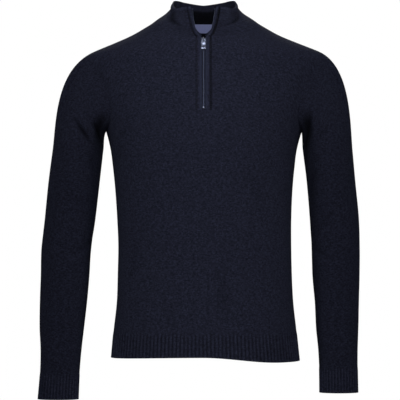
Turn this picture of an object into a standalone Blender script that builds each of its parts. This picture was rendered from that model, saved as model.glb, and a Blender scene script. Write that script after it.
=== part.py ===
"""A quarter zip sweater in fine navy knit, hollow and filled out as if worn on a general figure.

Sizes are in millimetres and are turned into metres when a mesh is made. +Z is up, the front faces -Y,
and left and right are the wearer's, so the left sleeve is at +X. The origin is at the middle of the
neck, level with the point where the collar leaves the shoulders.
"""

from collections import namedtuple
import math

import bmesh
import bpy
from mathutils import Matrix
import numpy as np

MM = 0.001
RIGHT, LEFT = -1, 1
FRONT, BACK = -1, 1

# Cloth
KNIT = 2.0  # thickness of the plain knit
SEAM = 0.3  # gap between two pieces at a seam
ARMHOLE_SEAM = 0.8  # gap between a sleeve's first points and the armhole

# Body: half widths and depths of its level rings, and how square each ring is (2 is an ellipse)
BodyRing = namedtuple("BodyRing", "height right left front back square")
BODY_RINGS = (
    BodyRing(-8, 86, 92, 50, 60, 2.1),
    BodyRing(-25, 113, 120, 60, 70, 2.1),
    BodyRing(-41, 141, 149, 69, 80, 2.15),
    BodyRing(-57, 177, 188, 78, 88, 2.2),
    BodyRing(-64, 194, 206, 82, 91, 2.2),
    BodyRing(-72, 213, 226, 86, 94, 2.2),
    BodyRing(-80, 230, 241, 89, 97, 2.15),
    BodyRing(-94, 239, 248, 94, 102, 2.1),
    BodyRing(-112, 236, 244, 100, 107, 2.1),
    BodyRing(-150, 222, 227, 111, 113, 2.1),
    BodyRing(-226, 190, 192, 121, 116, 2.3),
    BodyRing(-262, 181, 182, 122, 114, 2.35),
    BodyRing(-300, 176, 177, 120, 111, 2.35),
    BodyRing(-400, 168, 171, 113, 102, 2.35),
    BodyRing(-450, 166, 171, 110, 100, 2.35),
    BodyRing(-500, 167, 172, 108, 101, 2.35),
    BodyRing(-560, 169, 175, 108, 106, 2.35),
    BodyRing(-614, 175, 181, 111, 109, 2.35),
    BodyRing(-680, 181, 188, 113, 111, 2.35),
)
SHOULDER_POINT = -72  # height of the outer end of the shoulder seam
PIT = -226  # height of the bottom of the armhole
ARMHOLE_BITE = {FRONT: 34.0, BACK: 30.0}  # degrees that the armhole cuts into the ring from the side seam
ARMHOLE_BLUNT = 0.7  # below 1 it is blunter than an ellipse at its top and bottom
FRONT_NECK, BACK_NECK, SIDE_NECK = -46, -11, -14  # heights of the neck seam
NECK_ROUNDNESS = 0.8

# Zip slot in the front
SLOT_HALF = 7.5
SLOT_STEPS = 3  # the slot ends this many of the panel's rows above the pit

# Rows and columns of the panels' points
HEM_TOP = -614
BELOW_PIT = (HEM_TOP + SEAM / 2, -570, -520, -470, -420, -370, -320, -280, -250)
YOKE_ROWS = 6
HALF_COLUMNS = {FRONT: 11, BACK: 8}

# Hem rib
HEM_RIBS = 65  # on each half
HEM_LOW = -662  # its lower edge at the centre
HEM_DROP = {RIGHT: 5, LEFT: 11}  # how much lower the edge hangs at each side
HEM_DROP_REACH = {RIGHT: 180, LEFT: 150}  # the distance from the centre at which it has dropped that much
RIB_RAISE = 1.2
RIB_WALL = 1.8  # under the grooves

# Sleeves: level rings, from the upper arm to the end of the cuff
SleeveRing = namedtuple("SleeveRing", "height middle across ahead deep")
SLEEVE_RINGS = {
    RIGHT: (
        SleeveRing(-262, 244.5, 49.5, 2, 59),
        SleeveRing(-322, 252, 50, 4, 56),
        SleeveRing(-400, 260.5, 49.5, 6, 52),
        SleeveRing(-460, 267.5, 49, 6, 50),
        SleeveRing(-510, 270, 47.5, 4, 47),
        SleeveRing(-560, 273, 46, 0, 43),
        SleeveRing(-614, 276, 43, -6, 38),
        SleeveRing(-650, 277, 40, -11, 34),
        SleeveRing(-693, 279, 38.5, -17, 30),
        SleeveRing(-747, 282, 39.5, -25, 27),
    ),
    LEFT: (
        SleeveRing(-262, 242, 48.5, 2, 59),
        SleeveRing(-322, 248.5, 47.5, 4, 56),
        SleeveRing(-400, 255.5, 48, 6, 52),
        SleeveRing(-460, 257.5, 47.5, 6, 50),
        SleeveRing(-510, 258.5, 46, 4, 47),
        SleeveRing(-560, 260, 43, 0, 43),
        SleeveRing(-614, 260.5, 41, -6, 38),
        SleeveRing(-650, 261.5, 38.5, -11, 34),
        SleeveRing(-681, 262, 37.5, -17, 30),
        SleeveRing(-734, 262.5, 37.5, -25, 27),
    ),
}
UPPER_ARM = -262
CUFF_TOP = {RIGHT: -693, LEFT: -681}
CUFF_END = {RIGHT: -747, LEFT: -734}
CUFF_RIBS = 34
CAP_REACH, CAP_FALL, ARM_PULL = 3.0, 0.33, 0.8  # how the sleeve head leaves the armhole and meets the arm
AROUND = 24  # points round a sleeve, two for each step of an armhole

# Soft folds pressed into the sleeves near the pits: where round the sleeve (0 is outside, 90 the front,
# 180 the body side), how that changes per millimetre of height, middle height, length, width and depth
Fold = namedtuple("Fold", "turn lean height length width depth")
SLEEVE_FOLDS = (
    Fold(128, 0.55, -222, 46, 13, 4.5),
    Fold(112, 0.60, -262, 60, 14, 3.5),
    Fold(232, -0.55, -226, 46, 13, 4.5),
    Fold(205, -0.20, -470, 40, 22, 3.5),
    Fold(215, 0.25, -430, 36, 20, 3.0),
)

# Collar: its upper edge, as heights round the neck from the front
CollarEdge = namedtuple("CollarEdge", "height turn")
COLLAR_TOP = (
    CollarEdge(11, 0),
    CollarEdge(11.5, 30),
    CollarEdge(9.5, 58),
    CollarEdge(18, 88),
    CollarEdge(29, 114),
    CollarEdge(27, 148),
    CollarEdge(22, 180),
)
COLLAR_HALF = {RIGHT: 60, LEFT: 64}
COLLAR_DEEP = {FRONT: 63, BACK: 53}
COLLAR_SQUARE = 2.4
COLLAR_LEAN = 0.15  # how far its upper edge still leans inwards
COLLAR_LIFT = 0.12  # how much steeper than the shoulders it leaves the neck seam
COLLAR_PROUD = 1.4  # the folded knit stands this much further out than the body's
COLLAR_ROWS = 6
V_OPEN, V_CURVE = 17.3, 0.55  # how much the half gap at its front opens towards the top, and how early

# Creases where the collar bends from its front to its sides: the turn at the neck seam and how far it has
# moved at the upper edge, the middle and half length as shares of the collar, width in degrees, and depth
Crease = namedtuple("Crease", "turn lean share length width depth")
COLLAR_CREASES = (
    Crease(-8, -67, 0.72, 0.42, 12, 3.2),
    Crease(10, 58, 0.76, 0.38, 12, 2.8),
)

# Neck label
LABEL_HALF, LABEL_TOP, LABEL_LOW, LABEL_THICK, LABEL_GAP = 26, -13, -29.5, 0.8, 0.7

# Zip
TAPE_SHOWS = 4.6  # tape past the cloth's edge
TAPE_HIDDEN = 6.5
TAPE_THICK = 0.8
TAPE_DEPTH = KNIT + 0.5
TAPE_END = -198
CHAIN_HALF, CHAIN_THICK = 2.6, 2.6
TEETH_WIDE = 2.45
CHAIN_END = -182
STOP_LONG = 4.2
COLLAR_SHARES = (0.03, 0.07, 0.13, 0.22, 0.36, 0.54, 0.73, 0.9, 0.97)  # the zip's stations up the collar
TAPE_TURN, TAPE_TURN_SHARE = 65, 0.36  # degrees that its edge turns in on the collar, in full from this share
SLIDER_MIDDLE = -54
SLIDER_LONG, SLIDER_HALF = 12.0, 4.7
SLIDER_FOOT_HALF = 3.5
SLIDER_GAP, FRONT_PLATE, BACK_PLATE = 3.2, 1.4, 1.2
BACK_PLATE_SHARE = 0.94  # its width, as a share of the front plate's
POST_HALF, POST_FOOT_HALF, POST_LONG = 1.6, 0.5, 5.5
BRIDGE_HALF, BRIDGE_THICK = 1.1, 1.1
BRIDGE_REACH = 4.3  # from its middle to each foot
BRIDGE_RISE = ((-1.0, 0.0), (-0.72, 0.85), (0.0, 1.0), (0.72, 0.85), (1.0, 0.0))  # shares of reach and height
SUNK = 0.3  # how deep one piece of the slider starts inside the next
HINGE_UP = 2.4  # the pull's bar is this far above the slider's middle
HINGE_OUT = 1.3  # and this far in front of its face
PULL_THICK = 1.3
PULL_HALF, PULL_HEAD_HALF = 4.6, 3.4
PULL_WINDOW = 7.0
PULL_LONG = 22.0
PULL_FOOT_HALF, PULL_FOOT_LONG, PULL_FOOT_STEP = 5.3, 1.8, 0.6
PULL_REST = 2.0  # degrees that the pull leans back from the slider's slope

COLOURS = {
    "navy_knit": ((0.011, 0.013, 0.024), 0.92, 0.0),
    "navy_tape": ((0.008, 0.009, 0.014), 0.85, 0.0),
    "label_cloth": ((0.62, 0.62, 0.72), 0.8, 0.0),
    "steel": ((0.62, 0.63, 0.66), 0.28, 1.0),
}


def smooth_column(rows, name, at, key="height"):
    """The named column on a smooth curve through the rows, read at these values of the key column."""
    rows = sorted(rows, key=lambda row: getattr(row, key))
    known = np.array([getattr(row, key) for row in rows], float)
    value = np.array([getattr(row, name) for row in rows], float)
    slope = np.gradient(value, known)
    at = np.clip(np.asarray(at, float), known[0], known[-1])
    low = np.clip(np.searchsorted(known, at) - 1, 0, len(known) - 2)
    span = known[low + 1] - known[low]
    t = (at - known[low]) / span
    rest = 1 - t
    return (
        value[low] * (1 + 2 * t) * rest**2
        + value[low + 1] * (3 - 2 * t) * t**2
        + slope[low] * span * t * rest**2
        - slope[low + 1] * span * t**2 * rest
    )


def smooth_step(t):
    t = np.clip(t, 0, 1)
    return t * t * (3 - 2 * t)


def unit(vectors):
    return vectors / np.linalg.norm(vectors, axis=-1, keepdims=True)


def points(x, y, z):
    return np.stack(np.broadcast_arrays(x, y, z), axis=-1).astype(float)


def hermite(start, leave, end, arrive, share):
    """Points on the curve that leaves start and arrives at end along these two directions."""
    t = np.asarray(share, float)[..., None]
    rest = 1 - t
    return (
        start * (1 + 2 * t) * rest**2
        + end * (3 - 2 * t) * t**2
        + leave * t * rest**2
        - arrive * t**2 * rest
    )


def ring_point(turn, half_right, half_left, front, back, square, height):
    """A point of a squared ring; turn is in degrees from the front, positive towards the left."""
    angle = np.radians(turn)
    sine, cosine = np.sin(angle), np.cos(angle)
    half = np.where(sine < 0, half_right, half_left)
    deep = np.where(cosine < 0, back, front)
    x = half * np.sign(sine) * np.abs(sine) ** (2 / square)
    y = -deep * np.sign(cosine) * np.abs(cosine) ** (2 / square)
    return points(x, y, height)


def body_point(turn, height):
    sizes = {name: smooth_column(BODY_RINGS, name, height) for name in BodyRing._fields[1:]}
    return ring_point(
        turn, sizes["right"], sizes["left"], sizes["front"], sizes["back"], sizes["square"], height
    )


def turn_at(x, height):
    """The front turn at which the body's ring at this height has this x."""
    x = np.asarray(x, float)
    half = np.where(
        x < 0, smooth_column(BODY_RINGS, "right", height), smooth_column(BODY_RINGS, "left", height)
    )
    square = smooth_column(BODY_RINGS, "square", height)
    return np.sign(x) * np.degrees(np.arcsin((np.abs(x) / half) ** (square / 2)))


def normals(surface, u, v, step_u, step_v):
    """Unit normals of surface(u, v), from small steps to each side."""
    along_u = surface(u + step_u, v) - surface(u - step_u, v)
    along_v = surface(u, v + step_v) - surface(u, v - step_v)
    return unit(np.cross(along_u, along_v))


def body_layer(turn, height, out, face=None):
    """Points this far out from the body's surface, on the panel that the side seam leaves for the face."""
    turn, height = np.broadcast_arrays(np.asarray(turn, float), np.asarray(height, float))
    layer = body_point(turn, height) + out * normals(body_point, turn, height, 0.2, 0.5)
    if face:
        layer[..., 1] += face * SEAM / 2
    return layer


def even_turns(curve, start, end, count):
    """Turns from start to end at which this many points lie evenly along the curve."""
    turn = np.linspace(start, end, 20 * count)
    step = np.linalg.norm(np.diff(curve(turn), axis=0), axis=-1)
    run = np.concatenate([[0], np.cumsum(step)])
    return np.interp(np.linspace(0, run[-1], count), run, turn)


def neck_height(turn):
    """Height of the neck seam at this turn."""
    cosine = np.cos(np.radians(turn))
    middle = np.where(cosine > 0, FRONT_NECK, BACK_NECK)
    return middle + (SIDE_NECK - middle) * (1 - np.abs(cosine)) ** NECK_ROUNDNESS


def armhole_height(step_angle):
    """Height on the armhole; the step angle is 0 at the shoulder point and 180 at the pit."""
    middle = (SHOULDER_POINT + PIT) / 2
    return middle + (SHOULDER_POINT - middle) * np.cos(np.radians(step_angle))


def armhole_turn(step_angle, face):
    """How far the armhole's edge is from the centre of its panel, in degrees of the ring."""
    return 90 - ARMHOLE_BITE[face] * np.abs(np.sin(np.radians(step_angle))) ** ARMHOLE_BLUNT


def hem_end(x):
    right = HEM_DROP[RIGHT] * (x / HEM_DROP_REACH[RIGHT]) ** 2
    left = HEM_DROP[LEFT] * smooth_step(x / HEM_DROP_REACH[LEFT])
    return HEM_LOW - np.where(x < 0, right, left)


def panel_grid(face):
    """Turns and heights of a panel's grid, from the hem rib up to the neck seam.

    Its rows meet the armhole at the sleeve's own points and are evenly spaced at the middle of the panel.
    """
    steps = np.linspace(180, 0, AROUND // 2 + 1)
    yoke = np.linspace(0, 1, YOKE_ROWS + 1)[1:]
    below = np.full(len(BELOW_PIT), 90.0)
    edge = np.concatenate([below, armhole_turn(steps, face), np.full(YOKE_ROWS, 90.0)])
    top = np.full(YOKE_ROWS, SHOULDER_POINT)
    level = np.concatenate([BELOW_PIT, np.linspace(PIT, SHOULDER_POINT, len(steps)), top])
    edge_level = np.concatenate([BELOW_PIT, armhole_height(steps), top])
    rise = np.concatenate([np.zeros(len(below) + len(steps)), yoke])
    share = np.linspace(-1, 1, 2 * HALF_COLUMNS[face] + 1)
    share = share[share != 0] if face == FRONT else share
    level = level[:, None] + (edge_level - level)[:, None] * np.abs(share) ** 1.5
    turn = edge[:, None] * share
    height = panel_height(face, turn, level, rise)
    if face == FRONT:
        beside = HALF_COLUMNS[FRONT]
        spread = (np.abs(share) - share[beside]) / (1 - share[beside])
        slot = np.where(share < 0, -turn_at(-SLOT_HALF, height), turn_at(SLOT_HALF, height))
        turn = np.sign(share) * (slot + (edge[:, None] - slot) * spread)
        height = panel_height(face, turn, level, rise)
    return turn, height


def panel_height(face, turn, level, rise):
    """Heights of a panel's points, whose last rows rise from the shoulder point's level to the neck seam."""
    seam = neck_height(turn if face == FRONT else 180 - turn) - SEAM / 2
    return level + rise[:, None] * (seam - SHOULDER_POINT)


def material(name):
    found = bpy.data.materials.get(name)
    if found:
        return found
    colour, roughness, metallic = COLOURS[name]
    made = bpy.data.materials.new(name)
    made.use_nodes = True
    shader = made.node_tree.nodes["Principled BSDF"]
    shader.inputs["Base Color"].default_value = (*colour, 1)
    shader.inputs["Roughness"].default_value = roughness
    shader.inputs["Metallic"].default_value = metallic
    return made


def add_mesh(name, verts, faces, material_name):
    mesh = bpy.data.meshes.new(name)
    mesh.from_pydata((np.asarray(verts) * MM).tolist(), [], faces)
    shape = bmesh.new()
    shape.from_mesh(mesh)
    bmesh.ops.delete(shape, geom=[vert for vert in shape.verts if not vert.link_faces], context="VERTS")
    bmesh.ops.recalc_face_normals(shape, faces=shape.faces)
    shape.to_mesh(mesh)
    shape.free()
    mesh.materials.append(material(material_name))
    made = bpy.data.objects.new(name, mesh)
    bpy.context.collection.objects.link(made)
    return made


def add_wall(name, outer, inner, material_name, closed=False, left_out=()):
    """A closed wall between two grids of points; closed joins the last column to the first."""
    rows, columns = outer.shape[:2]
    count = rows * columns
    faces = []
    edges = set()
    for row in range(rows - 1):
        for column in range(columns if closed else columns - 1):
            if (row, column) in left_out:
                continue
            after = (column + 1) % columns
            quad = (
                row * columns + column,
                row * columns + after,
                (row + 1) * columns + after,
                (row + 1) * columns + column,
            )
            faces.append(quad)
            faces.append(tuple(corner + count for corner in reversed(quad)))
            edges.update(zip(quad, quad[1:] + quad[:1]))
    for start, end in edges:
        if (end, start) not in edges:
            faces.append((end, start, start + count, end + count))
    verts = np.concatenate([outer.reshape(-1, 3), inner.reshape(-1, 3)])
    return add_mesh(name, verts, faces, material_name)


def add_panels():
    turn, height = panel_grid(FRONT)
    slot_foot = len(BELOW_PIT) + SLOT_STEPS
    slot = [(row, HALF_COLUMNS[FRONT] - 1) for row in range(slot_foot, len(height) - 1)]
    add_wall(
        "front_panel",
        body_layer(turn, height, 0, FRONT),
        body_layer(turn, height, -KNIT, FRONT),
        "navy_knit",
        left_out=slot,
    )
    turn, height = panel_grid(BACK)
    add_wall(
        "back_panel",
        body_layer(180 - turn, height, 0, BACK),
        body_layer(180 - turn, height, -KNIT, BACK),
        "navy_knit",
    )


def add_hem(name, face):
    start = -90 if face == FRONT else 270
    turn = even_turns(lambda turn: body_point(turn, HEM_LOW), start, 90, 2 * HEM_RIBS + 1)
    raised = np.where(np.arange(len(turn)) % 2, RIB_RAISE, 0) - RIB_RAISE / 2
    end = hem_end(body_point(turn, np.full(len(turn), HEM_LOW))[:, 0])
    turn = np.stack([turn, turn])
    height = np.stack([end, np.full(len(end), HEM_TOP - SEAM / 2)])
    outer = body_layer(turn, height, raised[:, None], face)
    inner = body_layer(turn, height, -RIB_WALL - RIB_RAISE / 2, face)
    add_wall(name, outer, inner, "navy_knit")


def sleeve_ring(side, step_angle, height):
    """A point of the sleeve's level ring; the step angle is 0 outside, 90 in front, 180 at the body."""
    rows = SLEEVE_RINGS[side]
    angle = np.radians(step_angle)
    middle, across = smooth_column(rows, "middle", height), smooth_column(rows, "across", height)
    ahead, deep = smooth_column(rows, "ahead", height), smooth_column(rows, "deep", height)
    return points(side * (middle + across * np.cos(angle)), ahead - deep * np.sin(angle), height)


def armhole_point(side, step_angle):
    """A point on the armhole and the body's normal there; past 180 the step angle runs up the back."""
    step_angle = np.asarray(step_angle, float) % 360
    front = step_angle <= 180
    height = armhole_height(step_angle)
    out = np.where(front, armhole_turn(step_angle, FRONT), 180 - armhole_turn(step_angle, BACK))
    return body_point(side * out, height), normals(body_point, side * out, height, 0.2, 0.5)


def sleeve_head(side, share, step_angle):
    """A point on the sleeve between the armhole, at share 0, and the upper arm's ring, at share 1."""
    start, body_normal = armhole_point(side, step_angle)
    end = sleeve_ring(side, step_angle, np.full(np.shape(step_angle), UPPER_ARM))
    fall = np.abs(end[..., 2] - start[..., 2])
    leave = points(CAP_REACH * (end[..., 0] - start[..., 0]), 0 * fall, -CAP_FALL * fall)
    length = np.linalg.norm(leave, axis=-1, keepdims=True)
    flat = leave - np.sum(leave * body_normal, axis=-1, keepdims=True) * body_normal
    flush = ((1 + np.cos(np.radians(step_angle))) / 2)[..., None] ** 1.2
    leave = leave + flush * (unit(flat) * length - leave)
    below = sleeve_ring(side, step_angle, np.full(np.shape(step_angle), UPPER_ARM - 10.0))
    arrive = unit(below - end) * ARM_PULL * fall[..., None]
    return hermite(start, leave, end, arrive, share)


def sleeve_point(side, level, step_angle):
    """Level runs from 0 at the armhole to 1 at the upper arm, then down to 2 at the cuff."""
    level, step_angle = np.broadcast_arrays(np.asarray(level, float), np.asarray(step_angle, float))
    head = sleeve_head(side, np.clip(level, 0, 1), step_angle)
    height = UPPER_ARM + (CUFF_TOP[side] - UPPER_ARM) * np.clip(level - 1, 0, None)
    arm = sleeve_ring(side, step_angle, height)
    return np.where((level <= 1)[..., None], head, arm)


def fold_depth(step_angle, height):
    depth = 0
    for fold in SLEEVE_FOLDS:
        along = (height - fold.height) / fold.length
        turn = fold.turn + fold.lean * (height - fold.height)
        aside = (step_angle % 360 - turn) / fold.width
        depth = depth + fold.depth * np.exp(-(along**2) - aside**2)
    return depth


def sleeve_layer(side, level, step_angle, out):
    level, step_angle = np.broadcast_arrays(np.asarray(level, float), np.asarray(step_angle, float))

    def surface(u, v):
        return sleeve_point(side, np.maximum(u, 0), v)

    centre = surface(level, step_angle)
    facing = -side * normals(surface, level, step_angle, 0.004, 0.5)
    near_seam = smooth_step(level / 0.3)
    folds = fold_depth(step_angle, centre[..., 2]) * near_seam
    return centre + (out - folds)[..., None] * facing


def add_sleeve(name, side):
    step_angle = np.arange(AROUND) * 360 / AROUND
    level = np.array([0, 0.1, 0.22, 0.36, 0.52, 0.68, 0.84, 1, 1.11, 1.23, 1.35, 1.48, 1.62, 1.75, 1.88, 2])
    level = level[:, None] + 0 * step_angle
    start, _ = armhole_point(side, step_angle)
    towards = sleeve_point(side, 0.03 + 0 * step_angle, step_angle) - start
    level[0] = 0.03 * ARMHOLE_SEAM / np.linalg.norm(towards, axis=-1)
    outer = sleeve_layer(side, level, step_angle, 0)
    inner = sleeve_layer(side, level, step_angle, -KNIT)
    for grid in (outer, inner):
        grid[-1, :, 2] = CUFF_TOP[side] + SEAM / 2
    add_wall(name, outer, inner, "navy_knit", closed=True)


def add_cuff(name, side):

    def end_ring(angle):
        return sleeve_ring(side, angle, CUFF_END[side])

    step_angle = even_turns(end_ring, 0, 360, 2 * CUFF_RIBS + 1)[:-1]
    raised = np.where(np.arange(len(step_angle)) % 2, RIB_RAISE, 0) - RIB_RAISE / 2
    height = np.array([CUFF_END[side], CUFF_TOP[side] - SEAM / 2])[:, None] + 0 * step_angle
    centre = sleeve_ring(side, step_angle, height)
    ring_normal = normals(lambda u, v: sleeve_ring(side, u, v), step_angle + 0 * height, height, 0.5, 0.5)
    middle = centre.mean(axis=1, keepdims=True)
    ring_normal *= np.sign(np.sum(ring_normal * (centre - middle), axis=-1, keepdims=True))
    ring_normal[..., 2] = 0
    outer = centre + raised[:, None] * ring_normal
    inner = centre - (RIB_WALL + RIB_RAISE / 2) * ring_normal
    add_wall(name, outer, inner, "navy_knit", closed=True)


def collar_point(share, turn):
    """A point of the collar; share is 0 at the neck seam and 1 at its folded upper edge."""
    share, turn = np.broadcast_arrays(np.asarray(share, float), np.asarray(turn, float))
    seam_height = neck_height(turn) + SEAM / 2
    foot = body_point(turn, seam_height)
    top_height = smooth_column(COLLAR_TOP, "height", np.abs(turn), key="turn")
    top = ring_point(
        turn,
        COLLAR_HALF[RIGHT],
        COLLAR_HALF[LEFT],
        COLLAR_DEEP[FRONT],
        COLLAR_DEEP[BACK],
        COLLAR_SQUARE,
        top_height,
    )
    long = np.linalg.norm(top - foot, axis=-1, keepdims=True)
    leave = long * unit(unit(body_point(turn, seam_height + 1) - foot) + points(0, 0, COLLAR_LIFT))
    inward = unit((top - foot) * np.array([1, 1, 0]))
    arrive = long * unit(inward * COLLAR_LEAN + points(0, 0, 1))
    return hermite(foot, leave, top, arrive, share)


def v_half(share):
    """Half the gap between the collar's front edges."""
    return SLOT_HALF + V_OPEN * np.maximum(share, 0) ** V_CURVE


def collar_turn_at(x, share):
    """The turn at which the collar, this far up, has this x near its front."""
    x, share = np.broadcast_arrays(np.asarray(x, float), np.asarray(share, float))
    low, high = np.zeros(x.shape), np.full(x.shape, 80.0)
    for _ in range(40):
        middle = (low + high) / 2
        short = np.abs(collar_point(share, np.sign(x) * middle)[..., 0]) < np.abs(x)
        low, high = np.where(short, middle, low), np.where(short, high, middle)
    return np.sign(x) * (low + high) / 2


def crease_depth(share, turn):
    depth = 0
    for crease in COLLAR_CREASES:
        along = (share - crease.share) / crease.length
        aside = (turn - crease.turn - crease.lean * share) / crease.width
        depth = depth + crease.depth * np.exp(-(along**2) - aside**2)
    return depth * smooth_step(share / 0.3)


def collar_layer(share, turn, out):
    share, turn = np.broadcast_arrays(np.asarray(share, float), np.asarray(turn, float))
    facing = -normals(collar_point, np.maximum(share, 0.01), turn, 0.01, 0.3)
    return collar_point(share, turn) + (out - crease_depth(share, turn))[..., None] * facing


def add_collar():
    share = np.linspace(0, 1, COLLAR_ROWS + 1)[:, None]
    front, _ = panel_grid(FRONT)
    back, _ = panel_grid(BACK)
    half = len(front[-1]) // 2
    sides = []
    for side, foot in ((LEFT, front[-1, half:]), (RIGHT, front[-1, half - 1 :: -1])):
        edge = side * collar_turn_at(side * v_half(share), share)
        foot = side * foot
        sides.append(side * (edge + (foot - foot[0]) * (90 - edge) / (90 - foot[0])))
    behind = 180 - back[-1, ::-1][1:-1] + 0 * share
    behind = np.where(behind > 180, behind - 360, behind)
    turn = np.concatenate([sides[0], behind, sides[1][:, ::-1]], axis=1)
    proud = 0.2 + (COLLAR_PROUD - 0.2) * smooth_step(share / 0.35) + 0 * turn
    outer = collar_layer(share + 0 * turn, turn, proud)
    inner = collar_layer(share + 0 * turn, turn, -KNIT + 0 * turn)
    add_wall("collar", outer, inner, "navy_knit")


def add_label():
    turns, heights = panel_grid(BACK)
    middle = turns.shape[1] // 2
    between = heights[-2, middle]

    def layer(out):
        grid = []
        for height in (LABEL_LOW, between, LABEL_TOP):
            centre = body_layer(180.0, height, out, BACK)
            row = []
            for side in (RIGHT, LEFT):
                beside = body_layer(180 - side * turns[0, middle + 1], height, out, BACK)
                row.append(centre + (beside - centre) * LABEL_HALF / abs(beside[0]))
            grid.append((row[0], centre, row[1]))
        return np.array(grid)

    add_wall("neck_label", layer(-KNIT - LABEL_GAP), layer(-KNIT - LABEL_GAP - LABEL_THICK), "label_cloth")


Station = namedtuple("Station", "where at")


def zip_layer(side, station, from_edge, depth):
    """A point beside the zip, at a station that is a height on the body or a share of the collar.

    from_edge is the distance from the cloth's edge towards the zip's middle line. Past that edge, the part of
    the zip on the collar is turned in towards the neck.
    """
    if station.where == "body":
        x = side * (SLOT_HALF - from_edge)
        return body_layer(turn_at(x, station.at), station.at, -depth, FRONT)
    if from_edge > 0:
        angle = math.radians(TAPE_TURN) * smooth_step(station.at / TAPE_TURN_SHARE)
        deeper = depth - TAPE_DEPTH
        depth = TAPE_DEPTH + from_edge * math.sin(angle) + deeper * math.cos(angle)
        from_edge = from_edge * math.cos(angle) - deeper * math.sin(angle)
    x = side * (v_half(station.at) - from_edge)
    return collar_layer(station.at, collar_turn_at(x, station.at), -depth)


def add_strip(name, side, stations, edges, depth, thick, material_name):
    """A strip along the zip, through these distances from the cloth's edge."""

    def layer(down):
        return np.array([[zip_layer(side, station, edge, down) for edge in edges] for station in stations])

    add_wall(name, layer(depth), layer(depth + thick), material_name)


def chain_depth():
    return TAPE_DEPTH + TAPE_THICK / 2 - CHAIN_THICK / 2


def middle_strip(name, low, high):
    """A strip of chain thickness on the middle line of the front."""
    height = np.linspace(low, high, max(2, round((high - low) / 12)))[:, None]
    x = np.array([-CHAIN_HALF, CHAIN_HALF]) + 0 * height
    height = height + 0 * x
    turn = turn_at(x, height)
    outer = body_layer(turn, height, -chain_depth(), FRONT)
    inner = body_layer(turn, height, -chain_depth() - CHAIN_THICK, FRONT)
    add_wall(name, outer, inner, "steel")


def add_zip():
    """Tapes, the closed teeth up to the slider, the open teeth above it, and the stops."""
    middle_strip("zip_chain", CHAIN_END, SLIDER_MIDDLE - SLIDER_LONG / 2)
    middle_strip("zip_bottom_stop", CHAIN_END - SEAM - STOP_LONG, CHAIN_END - SEAM)
    body = [Station("body", height) for height in np.linspace(TAPE_END, FRONT_NECK - 1.5, 11)]
    collar = [Station("collar", share) for share in COLLAR_SHARES]
    stop = [Station("collar", share) for share in (COLLAR_SHARES[-2] + 0.006, COLLAR_SHARES[-1])]
    far = TAPE_SHOWS + SEAM
    near = far + TEETH_WIDE
    across = (TAPE_SHOWS, 0, -TAPE_HIDDEN)
    for side, word in ((RIGHT, "right"), (LEFT, "left")):
        add_strip("zip_tape_" + word, side, body + collar, across, TAPE_DEPTH, TAPE_THICK, "navy_tape")
        for name, stations in (("zip_teeth_", body[-1:] + collar[:-1]), ("zip_top_stop_", stop)):
            add_strip(name + word, side, stations, (near, far), chain_depth(), CHAIN_THICK, "steel")


def zip_frame():
    """The slider's own frame: X across, -Y out of the cloth, Z up along the zip, at the cloth's face."""
    here = body_layer(0.0, float(SLIDER_MIDDLE), 0.0, FRONT)
    above = body_layer(0.0, float(SLIDER_MIDDLE + SLIDER_LONG / 2), 0.0, FRONT)
    below = body_layer(0.0, float(SLIDER_MIDDLE - SLIDER_LONG / 2), 0.0, FRONT)
    lean = math.atan2(above[1] - below[1], above[2] - below[2])
    return Matrix.Translation(here * MM) @ Matrix.Rotation(-lean, 4, "X")


def box_grid(half_low, half_high, low, high, y):
    """Four corners of an upright face at this y, as a grid of two rows."""
    return np.array([
        [(-half_low, y, low), (half_low, y, low)],
        [(-half_high, y, high), (half_high, y, high)],
    ])


def slider_face():
    """How deep the slider's front face is under the cloth's; below 0 it stands out."""
    return TAPE_DEPTH + TAPE_THICK / 2 - SLIDER_GAP / 2 - FRONT_PLATE


def add_slider(frame):
    """Two plates joined by a post, with a bridge that holds the pull's bar."""
    half_long = SLIDER_LONG / 2
    face = slider_face()
    front_back = face + FRONT_PLATE
    back_front = front_back + SLIDER_GAP

    def plate(name, share, front, back):
        foot, head = SLIDER_FOOT_HALF * share, SLIDER_HALF * share
        layers = [box_grid(foot, head, -half_long, half_long, y) for y in (front, back)]
        return add_wall(name, *layers, "steel")

    def bridge_layer(height, half_foot):
        return np.array([
            [
                (x, face + SUNK - (height + SUNK) * rise, HINGE_UP + along * half_foot)
                for along, rise in BRIDGE_RISE
            ]
            for x in (-BRIDGE_HALF, BRIDGE_HALF)
        ])

    slider = plate("zip_slider", 1, face, front_back)
    back_plate = plate("slider_back", BACK_PLATE_SHARE, back_front, back_front + BACK_PLATE)
    post_ends = [
        box_grid(POST_FOOT_HALF, POST_HALF, half_long - POST_LONG, half_long, y)
        for y in (front_back - SUNK, back_front + SUNK)
    ]
    post = add_wall("slider_post", *post_ends, "steel")
    hole = HINGE_OUT * 2
    bridge = add_wall(
        "slider_bridge",
        bridge_layer(hole + BRIDGE_THICK, BRIDGE_REACH),
        bridge_layer(hole, BRIDGE_REACH - BRIDGE_THICK),
        "steel",
    )
    for piece in (back_plate, post, bridge):
        union = slider.modifiers.new(piece.name, "BOOLEAN")
        union.operation = "UNION"
        union.object = piece
        piece.hide_render = True
        piece.display_type = "WIRE"
        piece.matrix_world = frame
    slider.matrix_world = frame


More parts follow.
